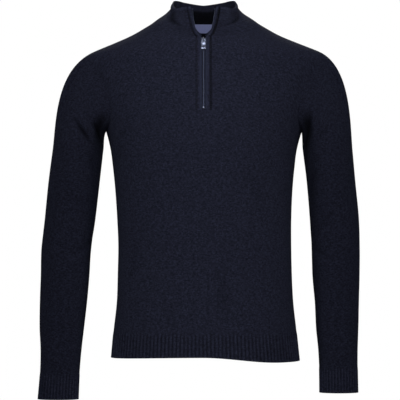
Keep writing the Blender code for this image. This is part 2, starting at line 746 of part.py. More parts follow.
def add_pull(frame):
    """A flat tab whose bar, at its origin, turns under the slider's bridge."""
    half_hole = BRIDGE_HALF + SEAM
    half_bar = PULL_THICK / 2
    foot_top = PULL_FOOT_LONG - PULL_LONG
    rows = (
        (-PULL_LONG, PULL_FOOT_HALF),
        (foot_top, PULL_FOOT_HALF),
        (foot_top + PULL_FOOT_STEP, PULL_HALF),
        (-half_bar - PULL_WINDOW, PULL_HALF),
        (-half_bar, PULL_HALF),
        (half_bar, PULL_HEAD_HALF),
    )

    def layer(y):
        columns = ((-half, -half_hole, half_hole, half) for _, half in rows)
        return np.array([[(x, y, height) for x in column] for column, (height, _) in zip(columns, rows)])

    pull = add_wall("zip_pull", layer(-half_bar), layer(half_bar), "steel", left_out=[(3, 1)])
    hinge = Matrix.Translation((0, (slider_face() - HINGE_OUT) * MM, HINGE_UP * MM))
    pull.matrix_world = frame @ hinge @ Matrix.Rotation(math.radians(PULL_REST), 4, "X")


def clear_scene():
    for old in list(bpy.data.objects):
        bpy.data.objects.remove(old, do_unlink=True)


def main():
    clear_scene()
    add_panels()
    add_hem("hem_rib_front", FRONT)
    add_hem("hem_rib_back", BACK)
    for side, word in ((RIGHT, "right"), (LEFT, "left")):
        add_sleeve("sleeve_" + word, side)
        add_cuff("cuff_" + word, side)
    add_collar()
    add_label()
    add_zip()
    frame = zip_frame()
    add_slider(frame)
    add_pull(frame)


main()
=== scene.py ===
"""The looks of a quarter zip sweater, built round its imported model.

Sizes are in millimetres and are turned into metres when a mesh is made. +Z is up, the front faces -Y,
and left and right are the wearer's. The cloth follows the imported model's large forms and adds finer
creases, ribs, welts, stitches and rounded edges. Sewn edges meet.
"""

from collections import namedtuple
import math

import bpy
from mathutils import Matrix, Vector
import numpy as np


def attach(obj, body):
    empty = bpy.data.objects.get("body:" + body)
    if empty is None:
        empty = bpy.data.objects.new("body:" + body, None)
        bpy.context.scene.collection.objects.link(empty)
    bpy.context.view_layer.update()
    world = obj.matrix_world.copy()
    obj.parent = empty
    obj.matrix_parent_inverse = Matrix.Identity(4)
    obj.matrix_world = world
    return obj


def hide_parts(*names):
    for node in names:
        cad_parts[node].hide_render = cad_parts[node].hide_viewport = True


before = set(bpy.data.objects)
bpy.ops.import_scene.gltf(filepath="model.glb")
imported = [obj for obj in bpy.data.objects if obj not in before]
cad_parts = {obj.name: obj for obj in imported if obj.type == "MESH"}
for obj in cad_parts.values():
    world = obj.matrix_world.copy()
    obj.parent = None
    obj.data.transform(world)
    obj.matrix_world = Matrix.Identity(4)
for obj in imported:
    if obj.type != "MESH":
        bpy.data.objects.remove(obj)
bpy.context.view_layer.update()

MM = 0.001
RIGHT, LEFT = -1, 1
FRONT, BACK = -1, 1
WORDS = {RIGHT: "right", LEFT: "left"}

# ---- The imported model's sizes ----
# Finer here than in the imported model: the sleeves' large folds, the collar's creases, the tapes' turn and
# the label's thickness.

KNIT = 2.0
CLEAR = 0.3  # gap round the metal parts

# Body: half widths and depths of its level rings, and how square each ring is (2 is an ellipse)
BodyRing = namedtuple("BodyRing", "height right left front back square")
BODY_RINGS = (
    BodyRing(-8, 86, 92, 50, 60, 2.1),
    BodyRing(-25, 113, 120, 60, 70, 2.1),
    BodyRing(-41, 141, 149, 69, 80, 2.15),
    BodyRing(-57, 177, 188, 78, 88, 2.2),
    BodyRing(-64, 194, 206, 82, 91, 2.2),
    BodyRing(-72, 213, 226, 86, 94, 2.2),
    BodyRing(-80, 230, 241, 89, 97, 2.15),
    BodyRing(-94, 239, 248, 94, 102, 2.1),
    BodyRing(-112, 236, 244, 100, 107, 2.1),
    BodyRing(-150, 222, 227, 111, 113, 2.1),
    BodyRing(-226, 190, 192, 121, 116, 2.3),
    BodyRing(-262, 181, 182, 122, 114, 2.35),
    BodyRing(-300, 176, 177, 120, 111, 2.35),
    BodyRing(-400, 168, 171, 113, 102, 2.35),
    BodyRing(-450, 166, 171, 110, 100, 2.35),
    BodyRing(-500, 167, 172, 108, 101, 2.35),
    BodyRing(-560, 169, 175, 108, 106, 2.35),
    BodyRing(-614, 175, 181, 111, 109, 2.35),
    BodyRing(-680, 181, 188, 113, 111, 2.35),
)
SHOULDER_POINT = -72
PIT = -226
ARMHOLE_BITE = {FRONT: 34.0, BACK: 30.0}
ARMHOLE_BLUNT = 0.7
ROW_BOW = 1.5  # how the panels' rows bend from the middle towards the armholes
FRONT_NECK, BACK_NECK, SIDE_NECK = -46, -11, -14
NECK_ROUNDNESS = 0.8
SLOT_HALF = 7.5
SLOT_FOOT = -187.5

HEM_TOP = -614
HEM_RIBS = 65
HEM_LOW = -662
HEM_DROP = {RIGHT: 5, LEFT: 11}
HEM_DROP_REACH = {RIGHT: 180, LEFT: 150}
RIB_RAISE = 1.2
RIB_WALL = 1.8
GROOVE_SINK = 0.5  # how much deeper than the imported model's the grooves between the ribs are

SleeveRing = namedtuple("SleeveRing", "height middle across ahead deep")
SLEEVE_RINGS = {
    RIGHT: (
        SleeveRing(-262, 244.5, 49.5, 2, 59),
        SleeveRing(-322, 252, 50, 4, 56),
        SleeveRing(-400, 260.5, 49.5, 6, 52),
        SleeveRing(-460, 267.5, 49, 6, 50),
        SleeveRing(-510, 270, 47.5, 4, 47),
        SleeveRing(-560, 273, 46, 0, 43),
        SleeveRing(-614, 276, 43, -6, 38),
        SleeveRing(-650, 277, 40, -11, 34),
        SleeveRing(-693, 279, 38.5, -17, 30),
        SleeveRing(-747, 282, 39.5, -25, 27),
    ),
    LEFT: (
        SleeveRing(-262, 242, 48.5, 2, 59),
        SleeveRing(-322, 248.5, 47.5, 4, 56),
        SleeveRing(-400, 255.5, 48, 6, 52),
        SleeveRing(-460, 257.5, 47.5, 6, 50),
        SleeveRing(-510, 258.5, 46, 4, 47),
        SleeveRing(-560, 260, 43, 0, 43),
        SleeveRing(-614, 260.5, 41, -6, 38),
        SleeveRing(-650, 261.5, 38.5, -11, 34),
        SleeveRing(-681, 262, 37.5, -17, 30),
        SleeveRing(-734, 262.5, 37.5, -25, 27),
    ),
}
UPPER_ARM = -262
CUFF_TOP = {RIGHT: -693, LEFT: -681}
CUFF_END = {RIGHT: -747, LEFT: -734}
CUFF_RIBS = 34
# The sleeve's head: how far it leaves the armhole sideways and down, how soon it is flush with the body, and
# how it runs into the upper arm
CAP_REACH, CAP_FALL, CAP_FLUSH, ARM_PULL, ARM_PULL_STEP = 3.0, 0.33, 1.2, 0.8, 10.0

# Large folds of the sleeves: where round the sleeve (0 is outside, 90 the front, 180 the body side),
# how that changes per millimetre of height, middle height, length, width in degrees and depth
Fold = namedtuple("Fold", "turn lean height length width depth")
SLEEVE_FOLDS = (
    Fold(136, -0.35, -222, 46, 13, 3.6),
    Fold(232, -0.55, -226, 46, 13, 4.5),
    Fold(205, -0.20, -470, 40, 22, 3.5),
    Fold(215, 0.25, -430, 36, 20, 3.0),
)

CollarEdge = namedtuple("CollarEdge", "height turn")
COLLAR_TOP = (
    CollarEdge(11, 0),
    CollarEdge(11.5, 30),
    CollarEdge(9.5, 58),
    CollarEdge(18, 88),
    CollarEdge(29, 114),
    CollarEdge(27, 148),
    CollarEdge(22, 180),
)
COLLAR_HALF = {RIGHT: 60, LEFT: 64}
COLLAR_DEEP = {FRONT: 63, BACK: 53}
COLLAR_SQUARE = 2.4
COLLAR_LEAN = 0.15
COLLAR_LIFT = 0.12
COLLAR_SIDE = 80.0  # the turn at which the collar's front ends
# How far out the folded knit stands, less at its foot, and over what share of its height that grows
COLLAR_PROUD, COLLAR_FOOT_PROUD, COLLAR_PROUD_REACH = 1.4, 0.2, 0.35
V_OPEN, V_CURVE = 17.3, 0.55
CollarCrease = namedtuple("CollarCrease", "turn lean share length width depth")
COLLAR_CREASES = (
    CollarCrease(-8, -67, 0.72, 0.42, 12, 2.2),
    CollarCrease(10, 58, 0.76, 0.38, 12, 1.8),
    # A sharper line across each of those two
    CollarCrease(16, -110, 0.60, 0.24, 4.5, 3.0),
    CollarCrease(-26, 127, 0.60, 0.22, 4.5, 3.2),
    CollarCrease(2, -110, 0.60, 0.24, 6, -1.0),
    CollarCrease(-12, 127, 0.60, 0.22, 6, -1.0),
    # Rolls of the upper edge at its back corners, below 0 where they stand out
    CollarCrease(-96, 0, 0.90, 0.07, 26, -1.5),
    CollarCrease(-88, 0, 0.74, 0.07, 22, 1.2),
    CollarCrease(92, 0, 0.93, 0.06, 20, -1.6),
    CollarCrease(84, 0, 0.79, 0.06, 16, 1.2),
    CollarCrease(150, 24, 0.55, 0.30, 14, 1.0),
    CollarCrease(-168, -20, 0.60, 0.26, 12, 0.8),
)

# Neck label
LABEL_HALF, LABEL_TOP, LABEL_LOW, LABEL_THICK, LABEL_GAP = 26, -13, -29.5, 0.7, 0.7

# Zip
TAPE_SHOWS = 4.6
TAPE_HIDDEN = 6.5
TAPE_THICK = 0.8
TAPE_DEPTH = KNIT + 0.5
TAPE_END = -198
TAPE_TURN, TAPE_TURN_SHARE = 88, 0.36
CHAIN_THICK = 2.6
TEETH_WIDE = 2.45
CHAIN_END = -182
STOP_LONG = 4.2
COLLAR_FOOT, COLLAR_HEAD = 0.03, 0.97
TEETH_SHARE = 0.9  # the open teeth end this far up the collar, and the top stop follows
SLIDER_MIDDLE = -54
SLIDER_LONG, SLIDER_HALF = 12.0, 4.7
SLIDER_FOOT_HALF = 3.5
SLIDER_GAP, FRONT_PLATE, BACK_PLATE = 3.2, 1.4, 1.2
BRIDGE_HALF, BRIDGE_THICK = 1.1, 1.1
BRIDGE_REACH = 4.3
HINGE_UP, HINGE_OUT = 2.4, 1.3
PULL_THICK = 1.3
PULL_HALF, PULL_HEAD_HALF = 4.6, 3.4
PULL_WINDOW = 7.0
PULL_LONG = 22.0
PULL_FOOT_HALF, PULL_FOOT_LONG, PULL_FOOT_STEP = 5.3, 1.8, 0.6
PULL_REST = 2.0

# ---- What the looks add to the cloth ----

# Grids: rows and columns of points, and the gaps between rows
ARMHOLE_STEPS = 48
ROW_GAP = 4.5
YOKE_ROWS = 24
PANEL_COLUMNS = {FRONT: 61, BACK: 65}  # on one half
HEAD_ROWS, ARM_ROW_GAP = 40, 4.0
COLLAR_ROWS, COLLAR_COLUMNS, BEHIND_COLUMNS = 30, 45, 90
LABEL_ROWS, LABEL_COLUMNS = 15, 33
TAPE_ROWS, TAPE_COLLAR_ROWS = 50, 40
FINE_POINTS, FINE_STEPS = 200, 500  # along a line of teeth or stitches, and within one
HALVINGS, ROUNDS = 40, 3  # of the searches for a turn and for the rows' heights
# Small steps for normals, in each surface's own two measures
BODY_STEP, COLLAR_STEP, SLEEVE_STEP, CUFF_STEP = (0.2, 0.5), (0.01, 0.3), (0.004, 0.5), (0.5, 0.5)

CLOTH_SMOOTH_UNDER = 50  # degrees between faces

# Ribs
RIB_POINTS = 8
RIB_ROWS = (0, 0.012, 0.025, 0.04, 0.08, 0.2, 0.36, 0.52, 0.66, 0.74, 0.8, 0.85, 0.9, 0.95, 1)
RIB_FULLNESS = 0.7  # below 1 a rib is fuller than a wave
RIB_FADE = 11.0
CAST_OFF, CAST_OFF_WIDE, CAST_OFF_FLAT = 0.5, 1.3, 0.6  # bead along a rib's free edge, which flattens it

# Welts: the turned edge beside the zip, on the front and up the collar
# WELT_SHADE sets how much painted shade the stitched groove gets, by its depth
WELT_WIDE, WELT_RAISE, WELT_STEP, WELT_SHADE = 5.2, 0.7, 1.2, 3.2
WELT_GROOVE_AT, WELT_GROOVE_WIDE = 6.1, 2.0
WELT_GROOVE_DEEP = {RIGHT: 0.8, LEFT: 1.5}
WELT_HIGHLIGHT = 0.35  # painted highlight: how much lighter the turned edge is painted
COLLAR_WELT = 1.6  # how much stronger the welt, its groove and their painted shade and highlight are on the collar
WELT_END, WELT_END_FADE = -191, 4.0
# Columns of points: distances from the slit's edge, and from the middle line across the slit
WELT_COLUMNS = (0, 0.8, 1.7, 2.7, 3.7, 4.4, 4.9, 5.4, 5.9, 6.5, 7.1, 7.8, 8.6, 10.0, 12.0)
MIDDLE_COLUMNS = (-5.0, -2.5, 0.0, 2.5, 5.0)

# Teeth
TOOTH_PITCH = 2.4
TOOTH_LONG, TOOTH_HIGH = 2.8, 1.15
TOOTH_SHIFT = 0.65  # how far the middle of a closed tooth is from the zip's middle line
# The tape's cross-section: how far past the cloth's edge, and how much thicker than its ground on each side
TAPE_PROFILE = (
    (-TAPE_HIDDEN, 0), (-3.0, 0), (0, 0), (1.6, 0), (2.6, 0), (3.3, 0.15), (3.8, 0.4), (4.3, 0.35),
    (TAPE_SHOWS, 0.05),
)
# The label's middle stands off the cloth in a soft wave, across it and up it
LABEL_LIFT, LABEL_WAVE, LABEL_WAVE_ACROSS, LABEL_WAVE_UP = 0.5, 0.4, 2.2, 0.05

# Seams
SEAM_DIP, SEAM_DIP_REACH = 0.15, 2.6  # how much and how near the cloth dips towards a seam
SEWN, SEWN_SHARE = 0.1, 0.02  # gap left at the armhole seam, found from the sleeve's first share
ALLOWANCE, ALLOWANCE_THICK = 3.0, 0.9  # the sleeve's edge that is turned in under the panels

# Painted shade: how much darker than the yarn a place is painted, from 0 to 1, or painted light where it is
# below 0
FOLD_SHADE, SHADE_FROM, SHADE_DEPTH = 0.75, 0.4, 3.0  # painted shade in a trough's bottom, past this depth and by how much
COLLAR_SHADE = 1.1  # how much more painted shade a trough of the collar gets
CUFF_PAINTED_LIGHT = 0.3  # painted light: the cuffs are painted a little lighter than the sleeves
GROOVE_SHADE, RIB_HIGHLIGHT = 0.45, 0.25  # painted shade in the sunk purl columns between the ribs, and a painted highlight on the ribs' faces
EDGE_HIGHLIGHT, EDGE_FROM, EDGE_FADE = 0.5, 0.9, 0.06  # painted highlight along the collar's folded upper edge
INSIDE_SHADE = 0.3  # painted shade on the inside, the purl side
NECK_SHADE, NECK_SHADE_REACH = 0.88, 70.0  # painted shadow on the purl side round the back of the neck
INSIDE_LIT_FROM, INSIDE_LIT_FADE = 0.8, 0.25  # shares up the collar's inside over which light reaches it

FOLD_CLEAR = 16.0  # soft folds on the body fade out this near the armholes, side seams and hem
FOLD_START = 0.3  # soft folds of the sleeves and collar fade in over this share of the way from their seams

# Soft folds: middle, as millimetres across from the piece's centre line and height, direction in degrees
# above level, half length, half width, and height (below 0 it is a trough); bow bends it, in 1/mm
Crease = namedtuple("Crease", "across height slant length width raise_by bow")
FRONT_CREASES = (
    Crease(-176, -236, 52, 44, 8, 2.4, 0.0),
    Crease(-160, -252, 48, 52, 9, -1.8, 0.0),
    Crease(-146, -240, 38, 60, 12, 1.3, 0.002),
    Crease(178, -238, 128, 42, 8, 2.2, 0.0),
    Crease(162, -256, 133, 50, 9, -1.6, 0.0),
    Crease(148, -244, 142, 56, 12, 1.2, -0.002),
    Crease(-118, -330, 70, 90, 20, 1.0, 0.001),
    Crease(104, -352, 108, 84, 18, -0.9, 0.0),
    Crease(-72, -520, 82, 86, 22, 1.1, 0.0),
    Crease(36, -546, 97, 70, 20, -1.0, 0.001),
    Crease(118, -500, 101, 96, 19, 1.1, 0.0),
    Crease(-138, -470, 78, 70, 15, -0.9, 0.0),
    Crease(-60, -110, 24, 50, 12, 0.7, 0.0),
    Crease(78, -118, -20, 46, 11, 0.7, 0.0),
)
BACK_CREASES = (
    Crease(-170, -238, 50, 46, 9, 2.2, 0.0),
    Crease(-150, -252, 44, 54, 11, -1.6, 0.0),
    Crease(172, -240, 130, 44, 9, 2.0, 0.0),
    Crease(152, -250, 138, 52, 11, -1.5, 0.0),
    Crease(-84, -300, 68, 96, 20, 1.2, 0.001),
    Crease(92, -330, 110, 90, 22, 1.1, 0.0),
    Crease(-58, -396, 70, 110, 24, -1.0, 0.0),
    Crease(-120, -500, 76, 90, 18, 1.0, 0.0),
    Crease(70, -528, 100, 84, 20, 1.2, 0.0),
    Crease(22, -474, 7, 96, 13, -0.9, 0.001),
    Crease(34, -500, 2, 80, 14, 1.1, 0.001),
)
# Across is round the sleeve from its outside: above 0 over the front, below 0 over the back
SLEEVE_CREASES = {
    RIGHT: (
        Crease(93, -228, -50, 28, 5.5, -3.6, 0.0),
        Crease(84, -240, -52, 26, 7, 1.5, 0.0),
        Crease(141, -235, -50, 28, 5.5, -3.6, 0.0),
        Crease(120, -240, -50, 26, 7, 1.4, 0.0),
        Crease(118, -286, -58, 34, 8, -1.4, 0.0),
        Crease(66, -312, -62, 38, 9, 1.2, 0.002),
        Crease(104, -338, -40, 30, 8, 1.2, 0.0),
        Crease(92, -360, -36, 34, 8, -1.2, 0.0),
        Crease(116, -452, 30, 30, 8, -1.3, 0.0),
        Crease(104, -476, 24, 34, 8, 1.2, 0.0),
        Crease(-112, -250, 48, 34, 8, -1.8, 0.0),
        Crease(-96, -268, 52, 34, 9, 1.4, 0.0),
        Crease(-70, -428, -12, 42, 9, -1.6, 0.002),
        Crease(-62, -446, -16, 40, 9, 1.5, 0.002),
        Crease(-80, -466, -10, 36, 8, -1.2, 0.0),
        Crease(50, -600, 12, 30, 9, 1.0, 0.0),
        Crease(-50, -640, -14, 30, 8, 1.0, 0.0),
    ),
    LEFT: (
        Crease(144, -244, -76, 44, 6, -3.2, 0.0),
        Crease(120, -246, -70, 36, 7, 1.5, 0.0),
        Crease(96, -232, -52, 24, 6, -1.3, 0.0),
        Crease(126, -330, -72, 40, 8, -1.6, 0.0),
        Crease(108, -322, -66, 38, 9, 1.3, 0.0),
        Crease(118, -384, -60, 30, 8, 1.3, 0.0),
        Crease(98, -400, -48, 34, 8, -1.2, 0.0),
        Crease(110, -462, 26, 34, 8, -1.4, 0.0),
        Crease(100, -484, 20, 32, 8, 1.2, 0.0),
        Crease(-110, -248, 50, 34, 8, -1.8, 0.0),
        Crease(-92, -266, 54, 34, 9, 1.4, 0.0),
        Crease(-72, -436, -14, 42, 9, -1.6, 0.002),
        Crease(-64, -456, -18, 38, 9, 1.5, 0.002),
        Crease(46, -586, 14, 30, 9, 1.0, 0.0),
        Crease(-54, -622, -12, 30, 8, 1.0, 0.0),
    ),
}

# Sewing thread: one stitch, and the gap from it to the next
STITCH_LONG, STITCH_GAP, STITCH_THICK = 2.9, 1.0, 0.75


def smooth_column(rows, name, at, key="height"):
    """The named column on a smooth curve through the rows, read at these values of the key column."""
    rows = sorted(rows, key=lambda row: getattr(row, key))
    known = np.array([getattr(row, key) for row in rows], float)
    value = np.array([getattr(row, name) for row in rows], float)
    slope = np.gradient(value, known)
    at = np.clip(np.asarray(at, float), known[0], known[-1])
    low = np.clip(np.searchsorted(known, at) - 1, 0, len(known) - 2)
    span = known[low + 1] - known[low]
    t = (at - known[low]) / span
    rest = 1 - t
    return (
        value[low] * (1 + 2 * t) * rest**2
        + value[low + 1] * (3 - 2 * t) * t**2
        + slope[low] * span * t * rest**2
        - slope[low + 1] * span * t**2 * rest
    )


def smooth_step(t):
    t = np.clip(t, 0, 1)
    return t * t * (3 - 2 * t)


def bell(distance, reach):
    return np.exp(-((distance / reach) ** 2))


def unit(vectors):
    return vectors / np.linalg.norm(vectors, axis=-1, keepdims=True)


def points(x, y, z):
    return np.stack(np.broadcast_arrays(x, y, z), axis=-1).astype(float)


def hermite(start, leave, end, arrive, share):
    """Points on the curve that leaves start and arrives at end along these two directions."""
    t = np.asarray(share, float)[..., None]
    rest = 1 - t
    return (
        start * (1 + 2 * t) * rest**2
        + end * (3 - 2 * t) * t**2
        + leave * t * rest**2
        - arrive * t**2 * rest
    )


def ring_point(turn, half_right, half_left, front, back, square, height):
    """A point of a squared ring; turn is in degrees from the front, positive towards the left."""
    angle = np.radians(turn)
    sine, cosine = np.sin(angle), np.cos(angle)
    half = np.where(sine < 0, half_right, half_left)
    deep = np.where(cosine < 0, back, front)
    x = half * np.sign(sine) * np.abs(sine) ** (2 / square)
    y = -deep * np.sign(cosine) * np.abs(cosine) ** (2 / square)
    return points(x, y, height)


def body_point(turn, height):
    sizes = {name: smooth_column(BODY_RINGS, name, height) for name in BodyRing._fields[1:]}
    return ring_point(
        turn, sizes["right"], sizes["left"], sizes["front"], sizes["back"], sizes["square"], height
    )


def turn_at(x, height):
    """The front turn at which the body's ring at this height has this x."""
    x = np.asarray(x, float)
    half = np.where(
        x < 0, smooth_column(BODY_RINGS, "right", height), smooth_column(BODY_RINGS, "left", height)
    )
    square = smooth_column(BODY_RINGS, "square", height)
    return np.sign(x) * np.degrees(np.arcsin((np.abs(x) / half) ** (square / 2)))


def normals(surface, u, v, step_u, step_v):
    """Unit normals of surface(u, v), from small steps to each side."""
    along_u = surface(u + step_u, v) - surface(u - step_u, v)
    along_v = surface(u, v + step_v) - surface(u, v - step_v)
    return unit(np.cross(along_u, along_v))


def body_layer(turn, height, out):
    """Points this far out from the body's surface."""
    turn, height = np.broadcast_arrays(np.asarray(turn, float), np.asarray(height, float))
    out = np.asarray(out, float)[..., None]
    return body_point(turn, height) + out * normals(body_point, turn, height, *BODY_STEP)


def even_turns(curve, start, end, count):
    """Turns from start to end at which this many points lie evenly along the curve."""
    turn = np.linspace(start, end, 10 * count)
    step = np.linalg.norm(np.diff(curve(turn), axis=0), axis=-1)
    run = np.concatenate([[0], np.cumsum(step)])
    return np.interp(np.linspace(0, run[-1], count), run, turn)


def neck_height(turn):
    cosine = np.cos(np.radians(turn))
    middle = np.where(cosine > 0, FRONT_NECK, BACK_NECK)
    return middle + (SIDE_NECK - middle) * (1 - np.abs(cosine)) ** NECK_ROUNDNESS


def armhole_height(step_angle):
    """Height on the armhole; the step angle is 0 at the shoulder point and 180 at the pit."""
    middle = (SHOULDER_POINT + PIT) / 2
    return middle + (SHOULDER_POINT - middle) * np.cos(np.radians(step_angle))


def armhole_turn(step_angle, face):
    return 90 - ARMHOLE_BITE[face] * np.abs(np.sin(np.radians(step_angle))) ** ARMHOLE_BLUNT


def hem_end(x):
    right = HEM_DROP[RIGHT] * (x / HEM_DROP_REACH[RIGHT]) ** 2
    left = HEM_DROP[LEFT] * smooth_step(x / HEM_DROP_REACH[LEFT])
    return HEM_LOW - np.where(x < 0, right, left)


def sleeve_ring(side, step_angle, height):
    rows = SLEEVE_RINGS[side]
    angle = np.radians(step_angle)
    middle, across = smooth_column(rows, "middle", height), smooth_column(rows, "across", height)
    ahead, deep = smooth_column(rows, "ahead", height), smooth_column(rows, "deep", height)
    return points(side * (middle + across * np.cos(angle)), ahead - deep * np.sin(angle), height)


def armhole_point(side, step_angle):
    """A point on the armhole and the body's normal there; past 180 the step angle runs up the back."""
    step_angle = np.asarray(step_angle, float) % 360
    front = step_angle <= 180
    height = armhole_height(step_angle)
    out = np.where(front, armhole_turn(step_angle, FRONT), 180 - armhole_turn(step_angle, BACK))
    return body_point(side * out, height), normals(body_point, side * out, height, *BODY_STEP)


def sleeve_head(side, share, step_angle):
    """A point on the sleeve between the armhole, at share 0, and the upper arm's ring, at share 1."""
    start, body_normal = armhole_point(side, step_angle)
    end = sleeve_ring(side, step_angle, np.full(np.shape(step_angle), UPPER_ARM))
    fall = np.abs(end[..., 2] - start[..., 2])
    leave = points(CAP_REACH * (end[..., 0] - start[..., 0]), 0 * fall, -CAP_FALL * fall)
    length = np.linalg.norm(leave, axis=-1, keepdims=True)
    flat = leave - np.sum(leave * body_normal, axis=-1, keepdims=True) * body_normal
    flush = ((1 + np.cos(np.radians(step_angle))) / 2)[..., None] ** CAP_FLUSH
    leave = leave + flush * (unit(flat) * length - leave)
    below = sleeve_ring(side, step_angle, np.full(np.shape(step_angle), UPPER_ARM - ARM_PULL_STEP))
    arrive = unit(below - end) * ARM_PULL * fall[..., None]
    return hermite(start, leave, end, arrive, share)


def sleeve_point(side, level, step_angle):
    """Level runs from 0 at the armhole to 1 at the upper arm, then down to 2 at the cuff."""
    level, step_angle = np.broadcast_arrays(np.asarray(level, float), np.asarray(step_angle, float))
    head = sleeve_head(side, np.clip(level, 0, 1), step_angle)
    height = UPPER_ARM + (CUFF_TOP[side] - UPPER_ARM) * np.clip(level - 1, 0, None)
    arm = sleeve_ring(side, step_angle, height)
    return np.where((level <= 1)[..., None], head, arm)


def fold_depth(step_angle, height):
    depth = 0
    for fold in SLEEVE_FOLDS:
        along = (height - fold.height) / fold.length
        turn = fold.turn + fold.lean * (height - fold.height)
        aside = (step_angle % 360 - turn) / fold.width
        depth = depth + fold.depth * np.exp(-(along**2) - aside**2)
    return depth


def collar_point(share, turn):
    """A point of the collar; share is 0 at the neck seam and 1 at its folded upper edge."""
    share, turn = np.broadcast_arrays(np.asarray(share, float), np.asarray(turn, float))
    seam_height = neck_height(turn)
    foot = body_point(turn, seam_height)
    top_height = smooth_column(COLLAR_TOP, "height", np.abs(turn), key="turn")
    top = ring_point(
        turn,
        COLLAR_HALF[RIGHT],
        COLLAR_HALF[LEFT],
        COLLAR_DEEP[FRONT],
        COLLAR_DEEP[BACK],
        COLLAR_SQUARE,
        top_height,
    )
    long = np.linalg.norm(top - foot, axis=-1, keepdims=True)
    leave = long * unit(unit(body_point(turn, seam_height + 1) - foot) + points(0, 0, COLLAR_LIFT))
    inward = unit((top - foot) * np.array([1, 1, 0]))
    arrive = long * unit(inward * COLLAR_LEAN + points(0, 0, 1))
    return hermite(foot, leave, top, arrive, share)


def v_half(share):
    """Half the gap between the collar's front edges."""
    return SLOT_HALF + V_OPEN * np.maximum(share, 0) ** V_CURVE


def collar_turn_at(x, share):
    """The turn at which the collar, this far up, has this x near its front."""
    x, share = np.broadcast_arrays(np.asarray(x, float), np.asarray(share, float))
    low, high = np.zeros(x.shape), np.full(x.shape, COLLAR_SIDE)
    for _ in range(HALVINGS):
        middle = (low + high) / 2
        short = np.abs(collar_point(share, np.sign(x) * middle)[..., 0]) < np.abs(x)
        low, high = np.where(short, middle, low), np.where(short, high, middle)
    return np.sign(x) * (low + high) / 2


def collar_crease_depth(share, turn):
    depth = 0
    for crease in COLLAR_CREASES:
        along = (share - crease.share) / crease.length
        aside = (turn - crease.turn - crease.lean * share) / crease.width
        depth = depth + crease.depth * np.exp(-(along**2) - aside**2)
    return depth * smooth_step(share / FOLD_START)


def collar_layer(share, turn, out):
    share, turn = np.broadcast_arrays(np.asarray(share, float), np.asarray(turn, float))
    facing = -normals(collar_point, np.maximum(share, COLLAR_STEP[0]), turn, *COLLAR_STEP)
    return collar_point(share, turn) + (out - collar_crease_depth(share, turn))[..., None] * facing


# ---- Cloth ----


def run_length(grid, axis, start=None):
    """Lengths along a grid's rows (axis 1) or columns (axis 0), from the start index or the first point."""
    step = np.linalg.norm(np.diff(grid, axis=axis), axis=-1)
    run = np.cumsum(step, axis=axis)
    pad = [(0, 0), (0, 0)]
    pad[axis] = (1, 0)
    run = np.pad(run, pad)
    if start is not None:
        run = run - np.take(run, [start], axis=axis)
    return run


def crease_relief(creases, across, height, girth=None):
    """How far the soft folds lift the cloth at these places; girth is the length round a tube."""
    relief = np.zeros(np.shape(across))
    for crease in creases:
        aside = across - crease.across
        if girth is not None:
            aside = (aside + girth / 2) % girth - girth / 2
        up = height - crease.height
        slant = math.radians(crease.slant)
        along = aside * math.cos(slant) + up * math.sin(slant)
        off = up * math.cos(slant) - aside * math.sin(slant) - crease.bow * along**2
        relief += crease.raise_by * bell(along, crease.length) * bell(off, crease.width)
    return relief


def fold_shade(relief):
    """Painted shade for the bottom of a trough: how much darker it is painted, by its depth."""
    return FOLD_SHADE * np.clip((-relief - SHADE_FROM) / SHADE_DEPTH, 0, 1)


def welt_relief(side, distance):
    """The turned edge beside the zip and the stitched groove behind it, with painted shade in the groove and
    a painted highlight on the edge.
    """
    deep = np.where(side < 0, WELT_GROOVE_DEEP[RIGHT], WELT_GROOVE_DEEP[LEFT])
    welt = smooth_step((WELT_WIDE - distance) / WELT_STEP)
    groove = bell(distance - WELT_GROOVE_AT, WELT_GROOVE_WIDE)
    # a painted highlight along the turned edge
    edge = WELT_HIGHLIGHT * bell(distance, WELT_WIDE / 2)
    return np.stack([WELT_RAISE * welt - deep * groove, fold_shade(-WELT_SHADE * deep * groove) - edge])


def flat_size(grid, closed, kept):
    """Width, length and area, in metres, of the cloth that this grid of points lays out."""
    ring = np.concatenate([grid, grid[:, :1]], axis=1) if closed else grid
    wide = run_length(ring, 1)[:, -1].max()
    long = run_length(grid, 0)[-1].max()
    across = ring[:-1, 1:] - ring[:-1, :-1]
    up = ring[1:, :-1] - ring[:-1, :-1]
    back = ring[1:, 1:] - ring[:-1, 1:]
    top = ring[1:, 1:] - ring[1:, :-1]
    areas = np.linalg.norm(np.cross(across, up), axis=-1) + np.linalg.norm(np.cross(top, back), axis=-1)
    return (wide * MM, long * MM), float((areas * kept).sum() / 2 * MM * MM)


